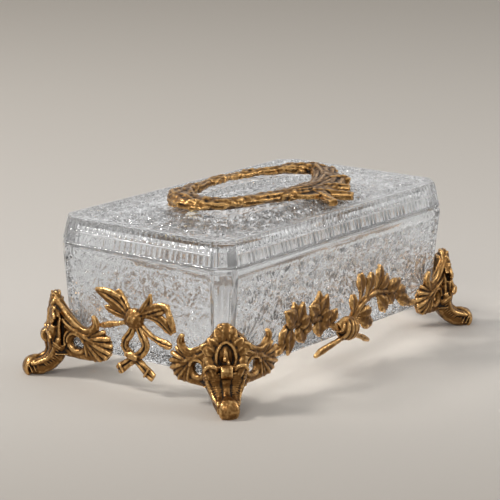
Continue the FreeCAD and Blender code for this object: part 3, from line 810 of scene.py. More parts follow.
# Bars on a wing, as (distance from the corner, distance out, height, width, thickness).
WING_RAIL = [
    (-2, 2.0, 18, 8, 4.6), (9, 2.2, 16.6, 6, 4.4), (20, 2.2, 15.6, 5.0, 4.2),
    (29, 2.4, 16.2, 5.2, 4.2), (36, 2.4, 17.6, 6.0, 3.6),
]
WING_HORN = [
    (4, 2.4, 48, 4.6, 4.2), (9.4, 2.8, 43, 5.2, 4.4), (15, 3.0, 37.6, 5.6, 4.6),
    (21, 3.2, 33.8, 5.8, 4.8), (27, 3.4, 32.2, 5.8, 4.8), (32, 3.6, 34, 5.6, 4.8),
    (34.6, 4.0, 37.6, 5.2, 4.4), (34.0, 4.3, 41, 4.2, 4.0), (32.2, 4.4, 43, 2.4, 3.0),
]
HORN_BEAD = [
    (10, 4.6, 37.4, 1.8, 2.0), (15, 5.0, 33.8, 2.2, 2.4),
    (22, 5.0, 30.6, 2.2, 2.4), (28.6, 4.8, 29.4, 1.4, 1.8),
]
SHELL_SPINE = [
    (12, 4.6, 33, 2.0, 2.2), (19, 4.8, 31.2, 2.4, 2.6),
    (27, 4.8, 28.6, 2.8, 2.8), (34, 4.4, 25.6, 1.6, 2.0),
]
# Rolled bands round the eye, as (reach, first angle, last angle, distance out).
EYE_BANDS = [(8.6, 0.6, 3.5, 4.4), (6.2, 0.2, 3.2, 5.0)]
# Where a shell's ribs start, the ribs as (angle, length, width), and the shape they share
# as (share of the length, share of the width, distance out).
SHELL_ROOT = (26.0, 27.0)
SHELL_RIBS = [
    (42, 12, 3.0), (26, 15.5, 3.4), (10, 18, 3.6), (-5, 19, 3.7), (-19, 19, 3.7),
    (-33, 18, 3.6), (-47, 16.5, 3.4), (-62, 14.5, 3.2), (-78, 12.5, 3.0),
]
RIB_SHAPE = [(0.0, 0.5, 3.4), (0.35, 0.75, 3.8), (0.7, 1.0, 3.6), (0.92, 1.05, 2.8), (1.0, 0.7, 2.0)]

DIAGONAL = math.sqrt(0.5)
FOOT_OUT = (-DIAGONAL, -DIAGONAL, 0.0)
FOOT_ACROSS = (DIAGONAL, -DIAGONAL, 0.0)
LEG_FACE = (-0.45, -0.45, 0.77)
TOE_FACE = (-0.6, -0.6, 0.5)
# Bars on a foot's middle, as (distance across, distance out, height, width, thickness).
CREST_PANEL = [
    (0, -2.4, 18, 25, 7), (0, -2.4, 30, 26, 6.6), (0, -3.0, 39, 22, 5.6), (0, -4.0, 45, 13, 4.6),
    (0, -4.8, 49, 8, 3.6),
]
CREST_RIM = [
    (-13, -1.0, 39, 2.56, 3.8), (-10.4, -1.4, 42, 2.72, 3.8), (-7.2, -2.0, 45.2, 2.56, 3.8),
    (-4.4, -2.6, 49, 3.04, 3.8), (-2.0, -3.0, 51.2, 3.52, 3.8), (2.0, -3.0, 51.2, 3.52, 3.8),
    (4.4, -2.6, 48.6, 3.04, 3.8), (7.2, -2.0, 44.6, 2.56, 3.8), (10.4, -1.4, 41.6, 2.72, 3.8),
    (13, -1.0, 39, 2.56, 3.8),
]
NICHE_ARCH = [
    (-4.8, 2.0, 27, 2.4, 3.4), (-6.0, 2.0, 32, 2.4, 3.4), (-5.3, 1.8, 37.5, 2.4, 3.4),
    (-2.9, 1.0, 41.0, 2.4, 3.4), (0, 0.8, 42.4, 2.4, 3.4), (2.9, 1.0, 41.0, 2.4, 3.4),
    (5.3, 1.8, 37.5, 2.4, 3.4), (6.0, 2.0, 32, 2.4, 3.4), (4.8, 2.0, 27, 2.4, 3.4),
]
NICHE_BACK = [(0, -0.4, 27, 9, 4.8), (0, -0.4, 34, 10.5, 4.8), (0, -1.0, 40.5, 6, 4)]
NICHE_BOSS = [(0.3, 1.2, 28.4, 5.4, 4.4), (-0.2, 1.0, 33.5, 5.0, 4.4), (0, 0.2, 38.6, 2.6, 3.0)]
NICHE_SHELF = [(-6.6, 2.6, 27.8, 2.2, 3.0), (0, 4.2, 28.2, 2.6, 3.4), (6.6, 2.6, 27.8, 2.2, 3.0)]
LEG_BAR = [
    (0, -4.2, 20.6, 25, 9), (0, -2.9, 14.6, 22.5, 9.6), (0, 0.5, 9.3, 17.6, 9.2),
    (0, 5.4, 5.9, 14.6, 9.4), (0, 10.6, 4.5, 12.6, 9.4), (0, 14.8, 4.0, 9.0, 7.6),
]
KNEE_ROLL = [
    (-3.6, 3.7, 25.0, 6.8, 6.8), (-2.8, 3.7, 25.0, 9.0, 9.0),
    (2.8, 3.7, 25.0, 9.0, 9.0), (3.6, 3.7, 25.0, 6.8, 6.8),
]
LEG_STRIP = [
    (0, 4.2, 21.0, 6.0, 3.6), (0, 3.6, 16.4, 5.2, 3.6), (0, 5.2, 12.8, 4.8, 3.4),
    (0, 8.6, 10.8, 4.8, 3.2), (0, 12.2, 10.2, 5.2, 3.0),
]
TOE_CAP = [
    (0, 8.8, 11.2, 2.4, 3.0), (0, 12.0, 10.1, 7.2, 4.6), (0, 15.4, 8.3, 11.0, 5.4),
    (0, 17.2, 5.0, 12.2, 5.0), (0, 16.8, 1.9, 11.4, 4.2), (0, 15.4, 0.2, 9.0, 3.0),
]
GLASS_LEDGE = [(0, 0, 15.2, 26, 2.6), (0, -12, 15.2, 28, 2.4), (0, -22, 15.2, 16, 2.4)]
# The same for bars that stand on both sides of the middle.
SHOULDER = [
    (10.5, 0.2, 34, 6.0, 5.0), (9.2, 1.2, 28.5, 7.0, 6.0),
    (7.6, 1.4, 23.5, 7.0, 6.0), (6.6, 0.4, 19.5, 6.0, 5.0),
]
SHOULDER_BAND = [
    (4.6, 3.2, 26, 2.4, 2.6), (7.6, 4.2, 28.6, 2.8, 2.8),
    (11.0, 3.4, 28.4, 2.6, 2.6), (13.2, 2.6, 25.4, 2.2, 2.2),
]
LEG_EDGE = [
    (11.6, -2.2, 25, 3.4, 3.8), (10.6, 0.0, 18.5, 3.0, 3.6), (8.6, 2.8, 12.4, 2.8, 3.4),
    (6.9, 8.4, 9.0, 2.6, 3.2), (5.6, 14.6, 7.6, 2.4, 3.0),
]
# Folded leaves on each side of the crest, as (root, tip, width).
CREST_LEAVES = [
    ((2.0, 0.4, 42.0), (6.0, -1.6, 49.6), 6.8),
    ((4.4, 0.4, 38.6), (10.2, -0.6, 44.4), 7.8),
    ((6.0, 0.4, 34.0), (13.0, 0.4, 40.4), 7.0),
]
# The run of the ribs down the leg's front, as (distance out, height, reach across).
FRONT_RIBS = [
    (2.6, 23.6, 9.4), (2.9, 20.4, 9.8), (2.6, 16.6, 9.4),
    (4.2, 13.0, 8.2), (7.6, 10.6, 7.0), (11.0, 9.8, 6.4),
]
# The run of the ribs down its flanks, as (distance out, height, width of the leg).
FLANK_RIBS = [(-2.0, 20, 24.6), (-1.2, 14.6, 21.6), (1.8, 10.2, 17.4), (6.0, 7.6, 15.0)]
# Where the feet stand, as (side along X, side along Y, quarter turns).
FOOT_PLACES = {
    "foot_front_left": (-1, -1, 0),
    "foot_front_right": (1, -1, 1),
    "foot_back_right": (1, 1, 2),
    "foot_back_left": (-1, 1, 3),
}


def along_x(s, d, h):
    """A place on the long wing, along X, by distance from the corner, distance out and height."""
    return Vector((s * LONG_WING, -d, h))


def along_y(s, d, h):
    """The same on the short wing, along Y."""
    return Vector((-d, s * SHORT_WING, h))


def on_diagonal(t, r, h):
    """A place on the foot's middle, by distance across, distance out from the corner and height."""
    return Vector(((-r + t) * DIAGONAL, (-r - t) * DIAGONAL, h))


def on_flank(sign):
    """The same on one side of the middle."""
    return lambda t, r, h: on_diagonal(sign * t, r, h)


def add_wing(bm, at, face):
    """One pierced wing: a rail, an eye, a curling horn and a ribbed shell."""
    add_plate(bm, CORNER_PLATE, at, -0.4, 3.2)
    add_plate(bm, SHELL_PLATE, at, -0.4, 2.6)
    add_bar(bm, at, WING_RAIL, face)
    eye = []
    for k in range(17):
        angle = 2 * math.pi * k / 16 + 0.6
        eye.append((20.5 + 6.3 * math.cos(angle), 2.4, 23.4 + 5.8 * math.sin(angle), 4.4, 4.8))
    add_bar(bm, at, eye, face, sides=12, steps=4)
    for reach, start, end, out in EYE_BANDS:
        band = []
        for k in range(9):
            angle = start + (end - start) * k / 8
            size = 1.5 + 1.1 * math.sin(math.pi * min(1.0, 0.15 + k / 9))
            height = 23.6 + reach * 0.98 * math.sin(angle)
            band.append((20.0 + reach * math.cos(angle), out, height, size, size))
        add_bar(bm, at, band, face, sides=10, steps=4)
    add_bar(bm, at, WING_HORN, face, sides=20, steps=6, section=bark(60))
    add_bar(bm, at, HORN_BEAD, face, sides=10)
    for k, (angle, length, wide) in enumerate(SHELL_RIBS):
        run = Vector((math.cos(math.radians(angle)), math.sin(math.radians(angle))))
        rib = []
        for share, size, out in RIB_SHAPE:
            along = SHELL_ROOT[0] + run.x * length * share
            height = SHELL_ROOT[1] + run.y * length * share
            rib.append((along, out - 0.5 * (k % 2), height, wide * size, 3.4))
        add_bar(bm, at, rib, face, sides=12, steps=4, section=ribbed_section)
    add_bar(bm, at, SHELL_SPINE, face, sides=12)


def add_crest(bm):
    """A back panel with a rim, folded leaves and scrolls beside it, and a niche with a boss."""
    add_bar(bm, on_diagonal, CREST_PANEL, FOOT_OUT, sides=18)
    add_bar(bm, on_diagonal, CREST_RIM, FOOT_OUT, sides=20, steps=6, section=bark(40))
    for sign in (-1, 1):
        flank = on_flank(sign)
        add_volute(bm, flank(11.4, 0.6, 38.2), 3.6, Vector(FOOT_ACROSS) * sign, UP, FOOT_OUT, 2.0)
        for root, tip, width in CREST_LEAVES:
            add_leaf(bm, flank(*root), flank(*tip), width, 4.2, FOOT_OUT, lift=1.0, blunt=0.4)
        # A shoulder fills in between the crest, the eye and the leg.
        add_bar(bm, flank, SHOULDER, FOOT_OUT, sides=18, steps=6, section=bark(28))
        add_bar(bm, flank, SHOULDER_BAND, FOOT_OUT, sides=12)
    low = on_diagonal(0, 0.2, 42.5)
    top = on_diagonal(0.8, -2.2, 52.8)
    add_leaf(bm, low, top, 9.5, 4.6, FOOT_OUT, lift=1.4, fullness=0.6, blunt=0.6)
    add_bar(bm, on_diagonal, NICHE_ARCH, FOOT_OUT, sides=12, steps=6)
    add_bar(bm, on_diagonal, NICHE_BACK, FOOT_OUT)
    add_bar(bm, on_diagonal, NICHE_BOSS, FOOT_OUT, sides=12, steps=6)
    add_blob(bm, on_diagonal(-1.0, 3.2, 32.4), (1.2, 1.2, 1.6))
    add_blob(bm, on_diagonal(1.3, 3.0, 30.2), (1.1, 1.1, 1.3))
    add_bar(bm, on_diagonal, NICHE_SHELF, FOOT_OUT, sides=12)


def add_leg(bm):
    """A roll at the knee, ribbed flanks, a smooth strip down the middle and a blunt domed toe."""
    add_bar(bm, on_diagonal, LEG_BAR, LEG_FACE, sides=26, steps=6, section=squared_section)
    add_bar(bm, on_diagonal, KNEE_ROLL, FOOT_OUT, sides=20, steps=4)
    add_bar(bm, on_diagonal, LEG_STRIP, TOE_FACE, steps=6)
    add_bar(bm, on_diagonal, TOE_CAP, TOE_FACE, sides=20, steps=6)
    for r, h, reach in smooth_path(FRONT_RIBS, 3):
        for sign in (-1, 1):
            rib = [
                (2.9, r + 0.4, h + 0.2, 0.9, 2.0),
                (reach * 0.75, r, h, 1.0, 2.4),
                (reach, r - 2.4, h - 1.4, 0.9, 2.0),
            ]
            add_bar(bm, on_flank(sign), rib, TOE_FACE, sides=8, steps=4)
    for sign in (-1, 1):
        flank = on_flank(sign)
        add_bar(bm, flank, LEG_EDGE, FOOT_OUT, sides=12)
        add_blob(bm, flank(4.6, 12.0, 8.6), (2.4, 2.4, 1.8))
        # Slanting lines on the toe's side.
        for k in range(4):
            slash = [(6.2, 8.4 + 2.4 * k, 6.6, 0.8, 1.3), (6.0, 6.6 + 2.4 * k, 2.2, 0.8, 1.3)]
            add_bar(bm, flank, slash, Vector(FOOT_ACROSS) * sign, sides=8, steps=3)
    for r, h, wide in smooth_path(FLANK_RIBS, 3):
        for sign in (-1, 1):
            rib = [
                (wide / 2 - 0.8, r + 3.4, h + 2.6, 1.0, 1.6),
                (wide / 2, r + 0.6, h + 0.8, 1.1, 2.0),
                (wide / 2 - 0.6, r - 2.4, h - 1.8, 0.8, 1.4),
            ]
            add_bar(bm, on_flank(sign), rib, Vector(FOOT_ACROSS) * sign, sides=8, steps=4)


def make_foot_pattern():
    """A foot at its corner, as the front left one stands, with the corner at the origin."""
    bm = bmesh.new()
    add_wing(bm, along_x, (0.0, -1.0, 0.0))
    add_wing(bm, along_y, (-1.0, 0.0, 0.0))
    add_crest(bm)
    add_leg(bm)
    add_bar(bm, on_diagonal, GLASS_LEDGE, UP, sides=18)
    return cast("foot_pattern", bm, 0.40, 0.25, floor=0.0)


def make_feet():
    pattern = make_foot_pattern()
    for node, (side_x, side_y, quarter) in FOOT_PLACES.items():
        foot = copy_piece(pattern, f"cast_{node}")
        move = (side_x * CORNER_X, side_y * CORNER_Y, 0.0)
        finish_piece(foot, BRASS, "casket", "antique_brass", node, turn=quarter * math.pi / 2, move=move)
    bpy.data.objects.remove(pattern)


# Garlands: a holly-like sprig, a bound knot and a laurel-like sprig on each long side

FRONT = (0.0, -1.0, 0.0)
# Stems as (place along the side, height).
LEFT_STEM = [
    (-79.5, 25.5), (-72, 27), (-61, 38.5), (-51, 38.5), (-38, 37.5), (-27.5, 37.5), (-14, 29), (-6, 25),
]
RIGHT_STEM = [
    (4, 27), (12, 34.5), (22, 39), (30, 41.5), (40.5, 40.5), (53.5, 36.5), (64, 31), (72, 26.5),
    (79.5, 25.5),
]
# Pointed lobes as (root, tip, width).
HOLLY_LOBES = [
    ((-64, 39), (-71.5, 24), 9.0), ((-62, 38), (-65, 21.5), 7.5), ((-55.5, 39), (-69.5, 50), 8.0),
    ((-55, 38), (-58, 53.5), 7.5), ((-54.5, 38), (-49, 52), 8.0), ((-54, 38), (-43.5, 41.5), 7.0),
    ((-51.5, 38), (-47.5, 25.5), 9.5), ((-50, 37.5), (-40, 33), 7.0), ((-33, 38.5), (-43, 48), 8.0),
    ((-32, 38), (-30.5, 55), 8.0), ((-31.5, 38), (-22.5, 51.5), 8.5), ((-30, 37.5), (-20.5, 40.5), 7.0),
    ((-31, 37), (-29.5, 25.5), 9.0), ((-29, 36.5), (-21.5, 30), 7.0), ((-20.5, 33.5), (-13.5, 40.5), 6.5),
]
# Leaf bodies under the lobes, as (place along, height, half width, half height).
HOLLY_BODIES = [
    (-65, 34, 5.0, 7.5), (-56, 43, 7.5, 6.5), (-50, 33.5, 5.5, 6.5), (-31.5, 44, 7.5, 7.0),
    (-28.5, 33, 6.0, 6.0),
]
# Leaves as (base, tip, width, how far along it is widest).
LAUREL_LEAVES = [
    ((5.5, 29.5), (7.5, 45), 8.0, 0.72), ((15.2, 37), (14.5, 57.5), 9.0, 0.74),
    ((21, 39), (26.5, 56), 9.4, 0.70), ((32, 42), (39.5, 58), 8.0, 0.66),
    ((34, 41.5), (47, 50), 7.6, 0.6), ((41, 40.5), (60.5, 44), 8.6, 0.56),
    ((53, 36.5), (69.5, 36), 8.2, 0.56), ((57, 34.5), (74, 26), 7.6, 0.5),
    ((34, 40), (44.5, 27.5), 9.4, 0.6), ((44, 39.5), (55, 30.5), 7.6, 0.55),
    ((10, 29), (29, 22), 8.6, 0.62), ((11.5, 31), (26, 31.5), 7.4, 0.6),
]
# The knot's core as (place along, height, width, thickness), from the knot's middle.
KNOT_CORE = [(-9, 3.4, 7, 6), (-4, 1.4, 10, 8), (0, 0.2, 10.6, 8.6), (4, -0.8, 10, 8), (8.5, -1.8, 6.5, 5.6)]
# Sizes of the cord's wraps round the core.
KNOT_WRAPS = (0.88, 1.0, 1.0, 0.86)
# Bars on the garland, as (place along, height, distance out, width, thickness).
KNOT_TAILS = [
    [
        (-5, 20.5, 4.4, 4.0, 3.6), (-14, 19, 4.6, 3.8, 3.6), (-24, 17.2, 4.2, 5.0, 3.6),
        (-31, 15.4, 3.4, 4.8, 3.6), (-35.5, 13.6, 3.0, 2.0, 3.6),
    ],
    [
        (4, 20.5, 4.4, 3.6, 3.6), (12, 17.4, 4.4, 3.6, 3.6), (20, 13.8, 3.8, 4.0, 3.6),
        (25, 11.4, 3.0, 2.4, 3.6),
    ],
]
CROSSED_STEM = [(-10, 27.4, 3.4, 7, 5.4), (-4, 30.4, 4.6, 6, 5), (4, 29.5, 4.4, 5, 4.4)]


def on_front(x, z, d):
    """A place on the front garland, by its place along the side, its height and how far it stands out."""
    return Vector((x, -CORNER_Y - d, z))


def make_left_sprig():
    bm = bmesh.new()
    add_bar(bm, on_front, [(x, z, 2.4, 5.0, 4.4) for x, z in LEFT_STEM], FRONT, steps=6, section=bark(80))
    for i, (root, tip, width) in enumerate(HOLLY_LOBES):
        tilt = 0.6 + 1.1 * (i % 3)
        base, point = on_front(*root, 2.2), on_front(*tip, 1.6 + tilt)
        add_leaf(bm, base, point, width * 1.6, 4.4, FRONT, lift=0.8, fullness=0.40)
    for x, z, wide, high in HOLLY_BODIES:
        add_blob(bm, on_front(x, z, 2.2), (wide, 2.0, high))
    return cast("holly_sprig", bm, 0.40, 0.27)


def make_right_sprig():
    bm = bmesh.new()
    add_bar(bm, on_front, [(x, z, 2.6, 5.0, 4.6) for x, z in RIGHT_STEM], FRONT, steps=6, section=bark(80))
    for i, (root, tip, width, fullness) in enumerate(LAUREL_LEAVES):
        tilt = 0.4 + 0.9 * (i % 3)
        base, point = on_front(*root, 2.4), on_front(*tip, 1.6 + tilt)
        add_leaf(bm, base, point, width * 1.22, 4.2, FRONT, lift=1.2, fullness=fullness, blunt=0.5)
    return cast("laurel_sprig", bm, 0.40, 0.24)


def make_binding():
    """Cord wraps round the crossed stems, with two free ends."""
    bm = bmesh.new()
    middle = on_front(-0.5, 24.6, 4.4)
    core = [(middle + Vector((x, 0, z)), wide, thick) for x, z, wide, thick in KNOT_CORE]
    add_strap(bm, core, FRONT, sides=16)
    for k, size in enumerate(KNOT_WRAPS):
        x = -5.0 + 3.3 * k
        wrap = []
        for j in range(13):
            angle = 2 * math.pi * j / 12
            y = -4.7 * size * math.cos(angle)
            z = 5.9 * size * math.sin(angle) - 0.24 * x
            wrap.append((middle + Vector((x + 1.6 * math.sin(angle), y, z)), 2.6, 3.5))
        add_strap(bm, wrap, (1.0, 0.0, 0.0), sides=10, steps=4)
    for tail in KNOT_TAILS:
        add_bar(bm, on_front, tail, FRONT, steps=6, section=leaf_section)
    add_bar(bm, on_front, CROSSED_STEM, FRONT)
    return cast("bound_knot", bm, 0.40, 0.20)


def make_garlands():
    patterns = {
        "left_sprig": make_left_sprig(),
        "right_sprig": make_right_sprig(),
        "binding": make_binding(),
    }
    for part, pattern in patterns.items():
        back = copy_piece(pattern, f"back_{pattern.name}")
        pattern.name = f"front_{pattern.name}"
        finish_piece(pattern, BRASS, "casket", "antique_brass", f"front_garland_{part}")
        finish_piece(back, BRASS, "casket", "antique_brass", f"back_garland_{part}", turn=math.pi)


# Bows: folded ribbon loops round a knot, two cords to the feet, and knotted tails

LEFT = (-1.0, 0.0, 0.0)
BOW_MIDDLE = (-0.8, 46.4)
# Ribbons as (place along the side, height, distance out, width, thickness).
# The left loop opens to a broad lip with a rolled edge, and has a smaller lobe under it.
LEFT_LIP = [
    (3.0, 48.5, 3, 5, 4), (7, 54, 3, 6.5, 4), (10.5, 59.5, 2.8, 5.5, 3.6), (12.5, 62.4, 2.6, 3.4, 2.6),
]
LEFT_LOOP = [
    (3.5, 48, 3.2, 5, 4), (10, 52.8, 3.4, 8.6, 4.2), (18, 56.8, 3.8, 8.2, 4.2), (25, 59.4, 3.8, 5.4, 3.6),
    (29, 60.2, 3.4, 3, 2.6),
]
LEFT_EDGE = [
    (9, 58.4, 3.8, 3.6, 3.2), (15, 60.4, 4.4, 3.8, 3.2), (24, 61, 4.4, 3.4, 2.8), (29, 60, 3.6, 2.4, 2.2),
]
LEFT_LOBE = [
    (4, 46.6, 3, 4, 3.4), (12, 48.2, 3.4, 5.4, 3.8), (19, 49.6, 3, 4.6, 3.2), (22.5, 50.2, 2.8, 2, 2.2),
]
# The right loop stands up to a point, folds over and hangs.
RIGHT_POINT = [
    (-5, 48.5, 3, 6, 4.2), (-9.4, 54, 3.2, 7, 4.2), (-12, 59, 3, 5, 3.6), (-12.6, 63.4, 2.6, 2.2, 2.2),
]
RIGHT_FOLD = [
    (-7, 50, 3.2, 6, 4), (-14, 53, 3.8, 8.4, 4.2), (-20, 55.4, 4.6, 8, 4.2), (-26, 57, 3.8, 5, 3.6),
    (-28, 57.4, 3.2, 2.6, 2.6),
]
RIGHT_EDGE = [
    (-20, 58, 4.4, 3.6, 3), (-25.6, 57.4, 4.4, 4.4, 3.4), (-28.2, 53, 4.6, 4.4, 3.4),
    (-30.6, 47, 4.4, 4.4, 3.2), (-31, 42.6, 3.4, 3.4, 2.6),
]
RIGHT_HANG = [
    (-8, 49.6, 3, 4, 3.6), (-15, 50, 3.6, 5.4, 4), (-22, 48.4, 4, 7.4, 4.2), (-27.5, 44.6, 4, 6.6, 3.8),
    (-30, 41.6, 3.2, 4, 2.8),
]
# Cords to the feet, each swelling to a bud.
LEFT_CORD = [
    (4, 43.4, 3, 3.6, 3.6), (11, 41.6, 2.8, 3.0, 3.2), (18, 39.8, 2.6, 4.2, 3.8),
    (23.5, 38.4, 2.4, 4.0, 3.4), (27.5, 37.4, 2.2, 2.0, 2.2),
]
RIGHT_CORD = [
    (-4.6, 43.6, 3, 4.4, 3.6), (-9.6, 40.0, 3, 4.0, 3.6), (-15, 36.8, 2.8, 4.0, 3.4),
    (-21, 34.8, 2.8, 5.4, 3.6), (-25.6, 34, 2.8, 6.0, 3.6), (-28.8, 33.6, 2.6, 3.4, 2.8),
]
# Two tails that cross at a knot.
FIRST_TAIL = [
    (-3.6, 42, 3, 5.4, 4), (-6.2, 37.5, 3.2, 6, 4), (-9.2, 31.4, 3, 6.2, 4), (-6.6, 26, 3, 5.6, 4),
    (-1, 21.8, 3.6, 5.6, 4), (5, 17.4, 3.2, 6, 4), (10.4, 13.4, 2.8, 7, 3.6), (12.4, 12, 2.6, 5.6, 2.8),
]
SECOND_TAIL = [
    (-0.4, 42, 3.6, 5, 4), (1.4, 37.6, 3.8, 5.4, 4), (6.0, 32, 3.2, 5.8, 4), (6.4, 26.8, 3, 5.6, 4),
    (1.2, 22.8, 2.6, 5.4, 4), (-5, 18.6, 2.6, 6, 4), (-11.6, 13.6, 2.8, 7, 3.6), (-15, 11.2, 2.6, 6.4, 2.8),
]
TAIL_KNOT = [(4.8, 24, 4.8, 3.6, 3.4), (0, 23.6, 5.4, 5, 3.6), (-4.6, 22.6, 4.8, 3.6, 3.4)]
# A ridge across each tail near its end, as (place along, height, lean).
TAIL_RIDGES = [(8.6, 14.6, 1), (-10.4, 14.4, -1)]


def on_left(y, z, d):
    """A place on the left bow, by its place along the side, its height and how far it stands out."""
    return Vector((-CORNER_X - d, y, z))


def folded_section(angle, share):
    """A ribbon's cross-section, with two folds along it."""
    across, out = math.cos(angle), math.sin(angle)
    if out < 0:
        return across, 0.7 * out
    deep_fold = 0.55 * math.exp(-((across - 0.3) ** 2) / 0.02)
    shallow_fold = 0.45 * math.exp(-((across + 0.42) ** 2) / 0.02)
    return across, out * (1.0 - deep_fold - shallow_fold)


def add_ribbon(bm, stations, section=oval_section):
    add_bar(bm, on_left, stations, LEFT, sides=20, steps=6, section=section)


def make_bow():
    bm = bmesh.new()
    along, height = BOW_MIDDLE
    add_blob(bm, on_left(along, height, 3.4), (4.6, 7.2, 7.0), detail=2)
    for k in range(4):
        angle = -0.9 + 0.5 * k
        gather = [
            (along + 6.2 * math.sin(angle - 0.5), height + 6.2 * math.cos(angle - 0.5), 4.6, 2.4, 2.0),
            (along + 1.8 * math.sin(angle), height, 7.6, 2.6, 1.8),
            (along + 6.0 * math.sin(angle + 0.4), height - 6.0 * math.cos(angle + 0.4), 4.6, 2.4, 2.0),
        ]
        add_bar(bm, on_left, gather, LEFT, sides=10, steps=6)
    add_ribbon(bm, LEFT_LIP, folded_section)
    add_ribbon(bm, LEFT_LOOP, folded_section)
    add_ribbon(bm, LEFT_EDGE)
    add_ribbon(bm, LEFT_LOBE, folded_section)
    add_ribbon(bm, RIGHT_POINT, folded_section)
    add_ribbon(bm, RIGHT_FOLD, folded_section)
    add_ribbon(bm, RIGHT_EDGE)
    add_ribbon(bm, RIGHT_HANG, folded_section)
    add_ribbon(bm, LEFT_CORD)
    add_ribbon(bm, RIGHT_CORD, leaf_section)
    return cast("ribbon_bow", bm, 0.40, 0.28)


def make_bow_tails():
    bm = bmesh.new()
    add_ribbon(bm, FIRST_TAIL, leaf_section)
    add_ribbon(bm, SECOND_TAIL, leaf_section)
    add_ribbon(bm, TAIL_KNOT)
    for y, z, lean in TAIL_RIDGES:
        add_ribbon(bm, [(y - lean * 1.6, z - 3.0, 4.6, 1.5, 1.6), (y + lean * 2.0, z + 2.6, 4.6, 1.5, 1.6)])
    return cast("ribbon_tails", bm, 0.40, 0.26)


def make_bows():
    for pattern, part in ((make_bow(), "bow"), (make_bow_tails(), "bow_tails")):
        right = copy_piece(pattern, f"right_{pattern.name}")
        pattern.name = f"left_{pattern.name}"
        finish_piece(pattern, BRASS, "casket", "antique_brass", f"left_{part}")
        finish_piece(right, BRASS, "casket", "antique_brass", f"right_{part}", turn=math.pi)


def dress_fittings():
    """Finishes for the small CAD pieces that stay as they are."""
    finishes = {"wreath_studs": STEEL, "stud_nuts": STEEL, "stud_washers": SILICONE}
    for corner in ("front_left", "front_right", "back_left", "back_right"):
        finishes[f"seat_pad_{corner}"] = SILICONE
    for node, material in finishes.items():
        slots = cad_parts[node].data.materials
        slots.clear()
        slots.append(material)


# Studio


FLOOR_RADIUS = 14.0
# What glass shows of the floor: a painted, even glow in place of its lit colour and shadows.
FLOOR_GLOW_IN_GLASS = (0.47, 0.467, 0.46, 1.0)
# The floor's colours from near to far, and the direction that runs away from the photograph's view.
# These colours are a painted pool of light, with painted shade towards the near and far ends.
FLOOR_LIGHT_POOL_COLOURS = [
    (0.03, (0.44, 0.40, 0.355)),
    (0.12, (0.58, 0.54, 0.49)),
    (0.2, (0.64, 0.595, 0.545)),
    (0.6, (0.60, 0.545, 0.48)),
    (0.95, (0.53, 0.47, 0.40)),
]
AWAY = (0.81, 0.586, 0.0)
# The room's bands of brightness, by height.
ROOM_BANDS = [
    (0.0, (0.42, 0.41, 0.40)),
    (0.02, (0.42, 0.41, 0.40)),
    (0.045, (1.0, 1.0, 1.0)),
    (0.11, (1.0, 1.0, 1.0)),
    (0.15, (0.34, 0.335, 0.33)),
    (0.27, (0.42, 0.42, 0.42)),
    (0.34, (1.0, 1.0, 1.0)),
    (0.52, (1.0, 1.0, 1.0)),
    (0.60, (0.38, 0.38, 0.38)),
    (0.80, (0.95, 0.95, 0.95)),
]
LAMP_TARGET = (0.0, 0.0, 0.05)
# The fitted view: the focal length in pixels of a picture this wide, the camera's place and its angles.
FOCAL_PIXELS = 2219.77
PHOTO_WIDTH = 500.0
SENSOR_WIDTH = 36.0
CAMERA_PLACE = (-1.12968, -0.81628, 0.39192)
CAMERA_AZIMUTH = -53.95
CAMERA_ROLL = 0.44


def make_floor():
    """A pale warm floor with a painted pool of light and painted shade at its near and far ends, and a
    painted, even glow where glass shows it.
    """
    bm = bmesh.new()
    bmesh.ops.create_circle(bm, cap_ends=True, segments=64, radius=FLOOR_RADIUS)
    floor = as_object("studio_floor", bm)
    material, tree, shader = new_material("pale_floor")
    place = tree.nodes.new("ShaderNodeTexCoord")
    away = add_node(tree, "ShaderNodeVectorMath", operation="DOT_PRODUCT")
    away.inputs[1].default_value = AWAY
    tree.links.new(place.outputs["Object"], away.inputs[0])
    spread = add_node(tree, "ShaderNodeMapRange")
    spread.inputs["From Min"].default_value = -0.4
    spread.inputs["From Max"].default_value = 2.0
    tree.links.new(away.outputs["Value"], spread.inputs["Value"])
    colour = add_ramp(tree, spread.outputs["Result"], FLOOR_LIGHT_POOL_COLOURS)
    tree.links.new(colour.outputs["Color"], shader.inputs["Base Color"])
    shader.inputs["Roughness"].default_value = 0.75
    # Glass sees the floor as a painted glow, not its lit and shaded colour.
    glow = tree.nodes.new("ShaderNodeEmission")
    glow.inputs["Color"].default_value = FLOOR_GLOW_IN_GLASS
    path = tree.nodes.new("ShaderNodeLightPath")
    mix = tree.nodes.new("ShaderNodeMixShader")
    tree.links.new(path.outputs["Is Transmission Ray"], mix.inputs["Fac"])
    tree.links.new(shader.outputs[0], mix.inputs[1])
    tree.links.new(glow.outputs[0], mix.inputs[2])
    tree.links.new(mix.outputs[0], tree.nodes["Material Output"].inputs["Surface"])
    floor.data.materials.append(material)


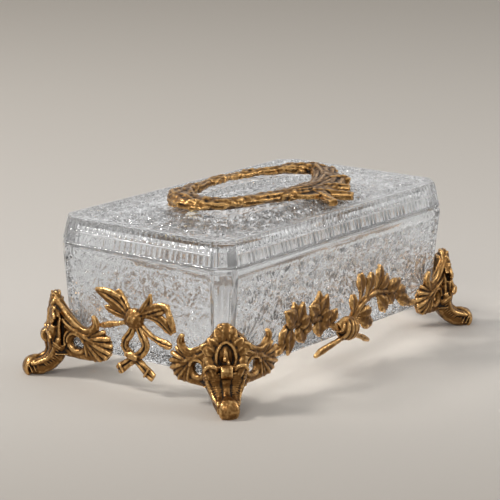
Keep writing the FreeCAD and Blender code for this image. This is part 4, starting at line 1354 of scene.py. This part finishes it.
def make_world():
    """A dim even room for light, and one with bright bands for what the camera, metal and glass see."""
    world = bpy.data.worlds.new("studio")
    world.use_nodes = True
    tree = world.node_tree
    seen = tree.nodes["Background"]
    room = tree.nodes.new("ShaderNodeBackground")
    room.inputs["Color"].default_value = (0.92, 0.96, 1.0, 1.0)
    room.inputs["Strength"].default_value = 0.42
    place = tree.nodes.new("ShaderNodeTexCoord")
    split = tree.nodes.new("ShaderNodeSeparateXYZ")
    tree.links.new(place.outputs["Generated"], split.inputs["Vector"])
    sky = add_ramp(tree, split.outputs["Z"], ROOM_BANDS)
    tree.links.new(sky.outputs["Color"], seen.inputs["Color"])
    path = tree.nodes.new("ShaderNodeLightPath")
    either = add_node(tree, "ShaderNodeMath", operation="MAXIMUM")
    any_view = add_node(tree, "ShaderNodeMath", operation="MAXIMUM")
    mix = tree.nodes.new("ShaderNodeMixShader")
    tree.links.new(path.outputs["Is Camera Ray"], either.inputs[0])
    tree.links.new(path.outputs["Is Glossy Ray"], either.inputs[1])
    tree.links.new(either.outputs[0], any_view.inputs[0])
    tree.links.new(path.outputs["Is Transmission Ray"], any_view.inputs[1])
    tree.links.new(any_view.outputs[0], mix.inputs["Fac"])
    tree.links.new(room.outputs[0], mix.inputs[1])
    tree.links.new(seen.outputs[0], mix.inputs[2])
    tree.links.new(mix.outputs[0], tree.nodes["World Output"].inputs["Surface"])
    bpy.context.scene.world = world


def add_lamp(name, place, size, power, colour):
    lamp = bpy.data.lights.new(name, "AREA")
    lamp.size = size
    lamp.energy = power
    lamp.color = colour
    obj = bpy.data.objects.new(name, lamp)
    obj.location = place
    obj.rotation_euler = (Vector(LAMP_TARGET) - Vector(place)).to_track_quat("-Z", "Y").to_euler()
    bpy.context.scene.collection.objects.link(obj)


def make_lights():
    add_lamp("key", (-1.12, 1.56, 1.95), size=0.5, power=40.0, colour=(1.0, 0.97, 0.93))
    add_lamp("front_fill", (-1.5, -0.45, 1.05), size=0.5, power=7.0, colour=(1.0, 0.98, 0.96))
    add_lamp("right_edge", (0.75, -1.15, 0.9), size=0.36, power=3.4, colour=(1.0, 0.97, 0.94))


def make_camera():
    """The photograph's view, fitted to the corners of the box."""
    camera = bpy.data.cameras.new("photo_view")
    camera.sensor_width = SENSOR_WIDTH
    camera.lens = FOCAL_PIXELS * SENSOR_WIDTH / PHOTO_WIDTH
    camera.clip_start = 0.01
    obj = bpy.data.objects.new("photo_view", camera)
    place = Vector(CAMERA_PLACE)
    azimuth = math.radians(CAMERA_AZIMUTH)
    right = Vector((math.cos(azimuth), math.sin(azimuth), 0.0))
    target = right * -0.00493 + Vector((0.0, 0.0, 0.06518))
    look = (target - place).to_track_quat("-Z", "Y").to_matrix()
    roll = Matrix.Rotation(math.radians(CAMERA_ROLL), 3, "Z")
    obj.matrix_world = Matrix.Translation(place) @ (look @ roll).to_4x4()
    bpy.context.scene.collection.objects.link(obj)
    bpy.context.scene.camera = obj


make_crystal_box()
make_crystal_lid()
make_wreath()
make_feet()
make_garlands()
make_bows()
dress_fittings()
make_floor()
make_world()
make_lights()
make_camera()
bpy.context.scene.view_settings.view_transform = "Standard"
